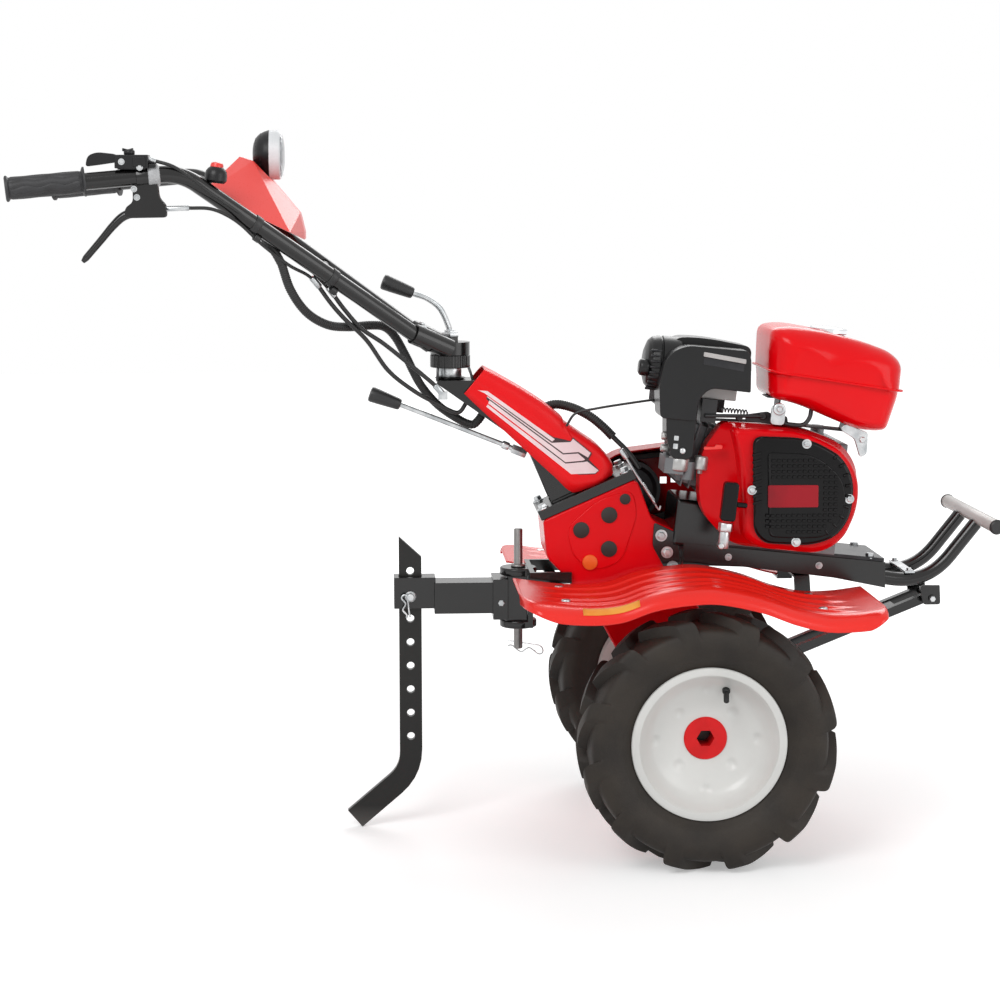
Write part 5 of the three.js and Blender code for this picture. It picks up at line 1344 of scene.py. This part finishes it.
make("tank_seam", on_engine(flat_ring(flange_ring, 3.2)), tank_enamel, "chassis", bevel=1.2,
     segments=3)
cap_profile = [(0, 230), (24, 230), (24, 236), (29, 236.5), (31, 238), (31, 243), (29.5, 245), (24, 246.4),
               (0, 247)]
CAP_PLACE = (34, -74, 3)
make("tank_cap", on_engine(turned(cap_profile, CAP_PLACE, "z", 64)), chrome, "chassis", ["fuel_cap"])
make("tank_cap_seal", on_engine(turned([(0, 226), (27, 226), (27, 235), (0, 235)], CAP_PLACE, "z", 48)),
     plug_rubber, "chassis")
make("tank_cradle_strap", on_engine(
    slab(eased([(-58, 133.4), (-38, 133.4), (-38, 94), (70, 93), (72, 104), (106, 104), (106, 106), (70, 106),
                (68, 95.6), (-36, 96), (-36, 136), (-58, 136)], 0.8), -126, -84),
), dark_steel, "chassis", ["tank_cradle"], bevel=0.5)
make("tank_brackets", on_engine(
    slab(eased([(-51, 94), (-29, 94), (-29, 122), (-51, 124)], 7), -140, -134),
    slab(eased([(66, 106), (104, 96), (106, 62), (96, 56), (84, 84), (60, 96)], 5), -134, -128),
    bar((-40, -133, 119), (-40, -145, 119), 9.5, 28, 0.15),
), zinc_plate, "chassis", bevel=0.8)
make("tank_pads", on_engine(bar((-40, -144, 119), (-40, -149, 119), 5, 6, 0.2),
                            bar((96, -134, 84), (96, -138, 84), 5, 6, 0.2)), zinc_plate, "chassis")

# ---------------------------------------------------------------- muffler
# A dark sheet box on the far side of the air cleaner, with rounded louvres on its top and its rear.
refined("muffler", "muffler_box", dark_steel, "chassis", 6)
louvres = [bar((-198 + i * 14, 8, 173), (-198 + i * 14, 48, 173), 3.2, 12, 0.3) for i in range(6)]
louvres += [bar((-214, -6 + i * 12, 100), (-214, -6 + i * 12, 150), 2.6, 12, 0.3) for i in range(5)]
make("muffler_louvres", on_engine(*louvres), dark_steel, "chassis")

# ---------------------------------------------------------------- belt drive and its guard
# A vee belt runs from the engine's pulley to the gearbox pulley, both cast, inside a drawn sheet guard in
# red enamel with five slots. The pulleys' dark colour is painted shade for the inside of the guard, and the
# guard's darker red is painted shade too.
belt_rubber = finish("belt_rubber", "#191817", "#100f0f", 0.7, patch=30, grain=700, relief=0.3)
refined("drive_belt", "vee_belt", belt_rubber, "chassis", 1.6)
BELT_Y = 108.3
# Both pulleys take the dark steel as painted shade for the inside of the guard.
for name, node, x, z, r, hub in (("gearbox_sheave", "gearbox_pulley", -75, 538, 48, 16),
                                 ("engine_sheave", "engine_pulley", 150, 571, 40, 18)):
    profile = [(0, -13), (hub, -13), (hub, -9), (r - 12, -7), (r - 6, -13), (r, -13), (r, -9.4),
               (r - 0.3, -8.8), (r - 0.3, 8.8), (r, 9.4), (r, 13), (r - 6, 13), (r - 12, 7), (hub, 9),
               (hub, 13), (0, 13)]
    make(name, [turned(profile, (x, BELT_Y, z), "y", 72)], dark_steel, "chassis", [node],
         sharp=35)
make("gearbox_shaft", [bar((-75, 58.5, 538), (-75, BELT_Y, 538), 15.6, 32, 0.05)], dark_steel, "chassis")
# The guard's red is darker than the other red enamel: painted shade, for the shadow the guard stands in.
guard_shaded_enamel = finish("guard_shaded_enamel", "#b8060e", "#a4050b", 0.3, patch=6, grain=300, relief=0.08,
                      specular=0.22)
refined("belt_guard", "belt_guard_pressing", guard_shaded_enamel, "chassis", 0.9)
GUARD_FACE = 132.5 + 1.8
guard_screws = [(x, GUARD_FACE, z) for x, z in ((-133, 545), (40, 622), (205, 580), (30, 487))]
make("guard_screws", bolts(guard_screws, "y", 10), zinc_plate, "chassis")

# ---------------------------------------------------------------- cables and hoses
# A ribbed black loom sleeve and two jacketed control cables hang under the right handle tube and
# end at the rear of the column. Those that cross from the handlebar to the machine belong to neither body.
cable_jacket = finish("cable_jacket", "#1c1c1c", "#121212", 0.5, patch=40, grain=700, relief=0.15)
loom_sleeve = finish("loom_sleeve", "#222222", "#161616", 0.6, patch=40, grain=700, relief=0.15)


def run_along(line):
    """The length of a dense line from its start to each of its points."""
    return np.concatenate([[0], np.cumsum(np.linalg.norm(np.diff(line, axis=0), axis=1))])


def share_of(line, low, high):
    """The stretch of a dense line between two shares of its length."""
    run = run_along(line)
    return line[(run >= low * run[-1]) & (run <= high * run[-1])]


def sleeve_along(line, radius, pitch):
    """A sleeve along a dense line whose radius rises and falls by a twentieth with each pitch."""
    return pipe(line, radius * (0.955 + 0.045 * np.sin(run_along(line) / pitch * 2 * pi)), 16)


loom_points = [
    (-634, -132, 916), (-621, -122, 876), (-598, -108, 842), (-567, -88, 822), (-534, -64, 817),
    (-503, -42, 818), (-480, -28, 815), (-463, -19, 799), (-446, -12, 768), (-424, -6, 724), (-396, -2, 690),
    (-362, 0, 666), (-342, 0, 658), (-331.9, 0, 664.6), (-325.5, 0, 673.7),
]
loom_line = smooth_line(loom_points, 900)
loom_split = 0.435
upper_line = share_of(loom_line, 0, loom_split)
lower_line = share_of(loom_line, loom_split, 1)
loom_lead = smooth_line([(-668, -142, 967), (-655, -141, 950), (-643, -137, 933), (-634, -132, 916)], 30)
make("loom_sleeve_upper", [sleeve_along(np.concatenate([loom_lead[:-1], upper_line]), 7, 3.4)], loom_sleeve,
     "handlebar", ["wiring_loom_upper"], sharp=60)


def crossing(name, line, radius, material, node, pitch=None):
    """A cable that starts on the handlebar and ends on the machine, and bends in between."""
    shape = sleeve_along(line, radius, pitch) if pitch else pipe(line, radius, 14)
    piece = make(name, [shape], material, None, [node], sharp=60)
    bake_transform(piece)
    return piece


crossing("loom_sleeve_lower", lower_line, 7, loom_sleeve, "wiring_loom_lower", 3.4)
clutch_points = [
    (-584, -106, 888), (-562, -96, 856), (-541, -85, 831), (-507, -66, 796), (-474, -48, 748),
    (-434, -36, 715), (-400, -26, 695), (-372, -18, 680), (-361, -16, 680.5), (-352.2, -16, 692.9),
]
crossing("clutch_cable_run", smooth_line(clutch_points, 160), 3.4, cable_jacket, "clutch_cable")
throttle_points = [
    (-560, -92, 872), (-541, -84, 845), (-515, -72, 815), (-480, -60, 790), (-440, -50, 757),
    (-408, -44, 730), (-396, -42, 718),
]
crossing("throttle_cable_run", smooth_line(throttle_points, 120), 3.4, cable_jacket, "throttle_cable")
harness_points = [
    (-226, 14, 680), (-218, 14, 686), (-202, 12, 688), (-178, 6, 682), (-154, -2, 670), (-134, -8, 654),
    (-118, -11, 638),
]
make("harness_sleeve", [sleeve_along(smooth_line(harness_points, 420), 7.6, 3.4)], loom_sleeve, "chassis",
     ["engine_harness"], sharp=60)
harness_wires = smooth_line([(-122, -10, 642), (-112, -12, 632), (-98, -16, 618), (-86, -22, 602),
                             (-78, -28, 588)], 40)
make("harness_tail", [pipe(harness_wires, 4, 12)], cable_jacket, "chassis")
# The two controls leave their levers in zinc ferrules and run down the tube to the cables' clips.
clutch_upper = smooth_line([(-764, -214, 1000), (-735, -208, 999), (-712, -196, 990), (-690, -176, 974),
                            (-662, -158, 946), (-624, -134, 915), (-598, -114, 900), (-584, -106, 888)], 90)
throttle_upper = smooth_line([(-812, -222, 1068), (-786, -222, 1060), (-762, -216, 1044), (-733, -204, 1021),
                              (-690, -182, 990), (-640, -150, 950), (-590, -112, 905), (-560, -92, 872)], 90)
make("control_cables", [pipe(clutch_upper, 2.6, 12), pipe(throttle_upper, 2.6, 12)], cable_jacket,
     "handlebar")
make("cable_ferrules", [
    bar((-799, -216, 999), (-764, -214, 1000), 4, 20, 0.3),
    bar((-824, -222, 1071), (-810, -222, 1067), 4, 20, 0.3),
    bar((-590, -110, 895), (-578, -102, 880), 5, 20, 0.3),
    bar((-566, -96, 880), (-555, -90, 865), 5, 20, 0.3),
], zinc_plate, "handlebar")
make("throttle_stop", [bar((-402, -43, 725), (-388, -40, 709), 5, 20, 0.3),
                       block((-396, -382), (-46, -37), (702, 714))], zinc_plate, "chassis")
# Below the cover the clutch's inner wire reaches the idler's spring, and a thin throttle cable
# runs on from the column to the engine.
wire = smooth_line([(-104, -62, 612), (-94, -62, 596), (-84, -62, 580), (-76, -62, 568)], 30)
make("clutch_wire", [pipe(wire, 2.2, 10), bar((-112, -62, 624), (-102, -62, 609), 4.4, 16, 0.3)], zinc_plate,
     "chassis")
turns = np.linspace(0, 2 * pi * 11, 360)
spring = np.stack([-76 + turns / turns[-1] * 18, -62 + 5 * np.cos(turns),
                   568 - turns / turns[-1] * 28 + 5 * np.sin(turns) * 0.6], -1)
hook_line = smooth_line([(-58, -62, 540), (-54, -62, 532), (-50, -62, 528), (-48, -62, 534)], 16)
make("idler_spring", [pipe(spring, 1.3, 8), pipe(hook_line, 1.5, 8)], zinc_plate, "chassis")
thin_cable = smooth_line([(-196, -50, 660), (-182, -54, 680), (-150, -58, 688), (-100, -60, 696),
                          (-55, -60, 702), (-30, -60, 704)], 60)
make("engine_throttle_cable", [pipe(thin_cable, 2.0, 10)], cable_jacket, "chassis")
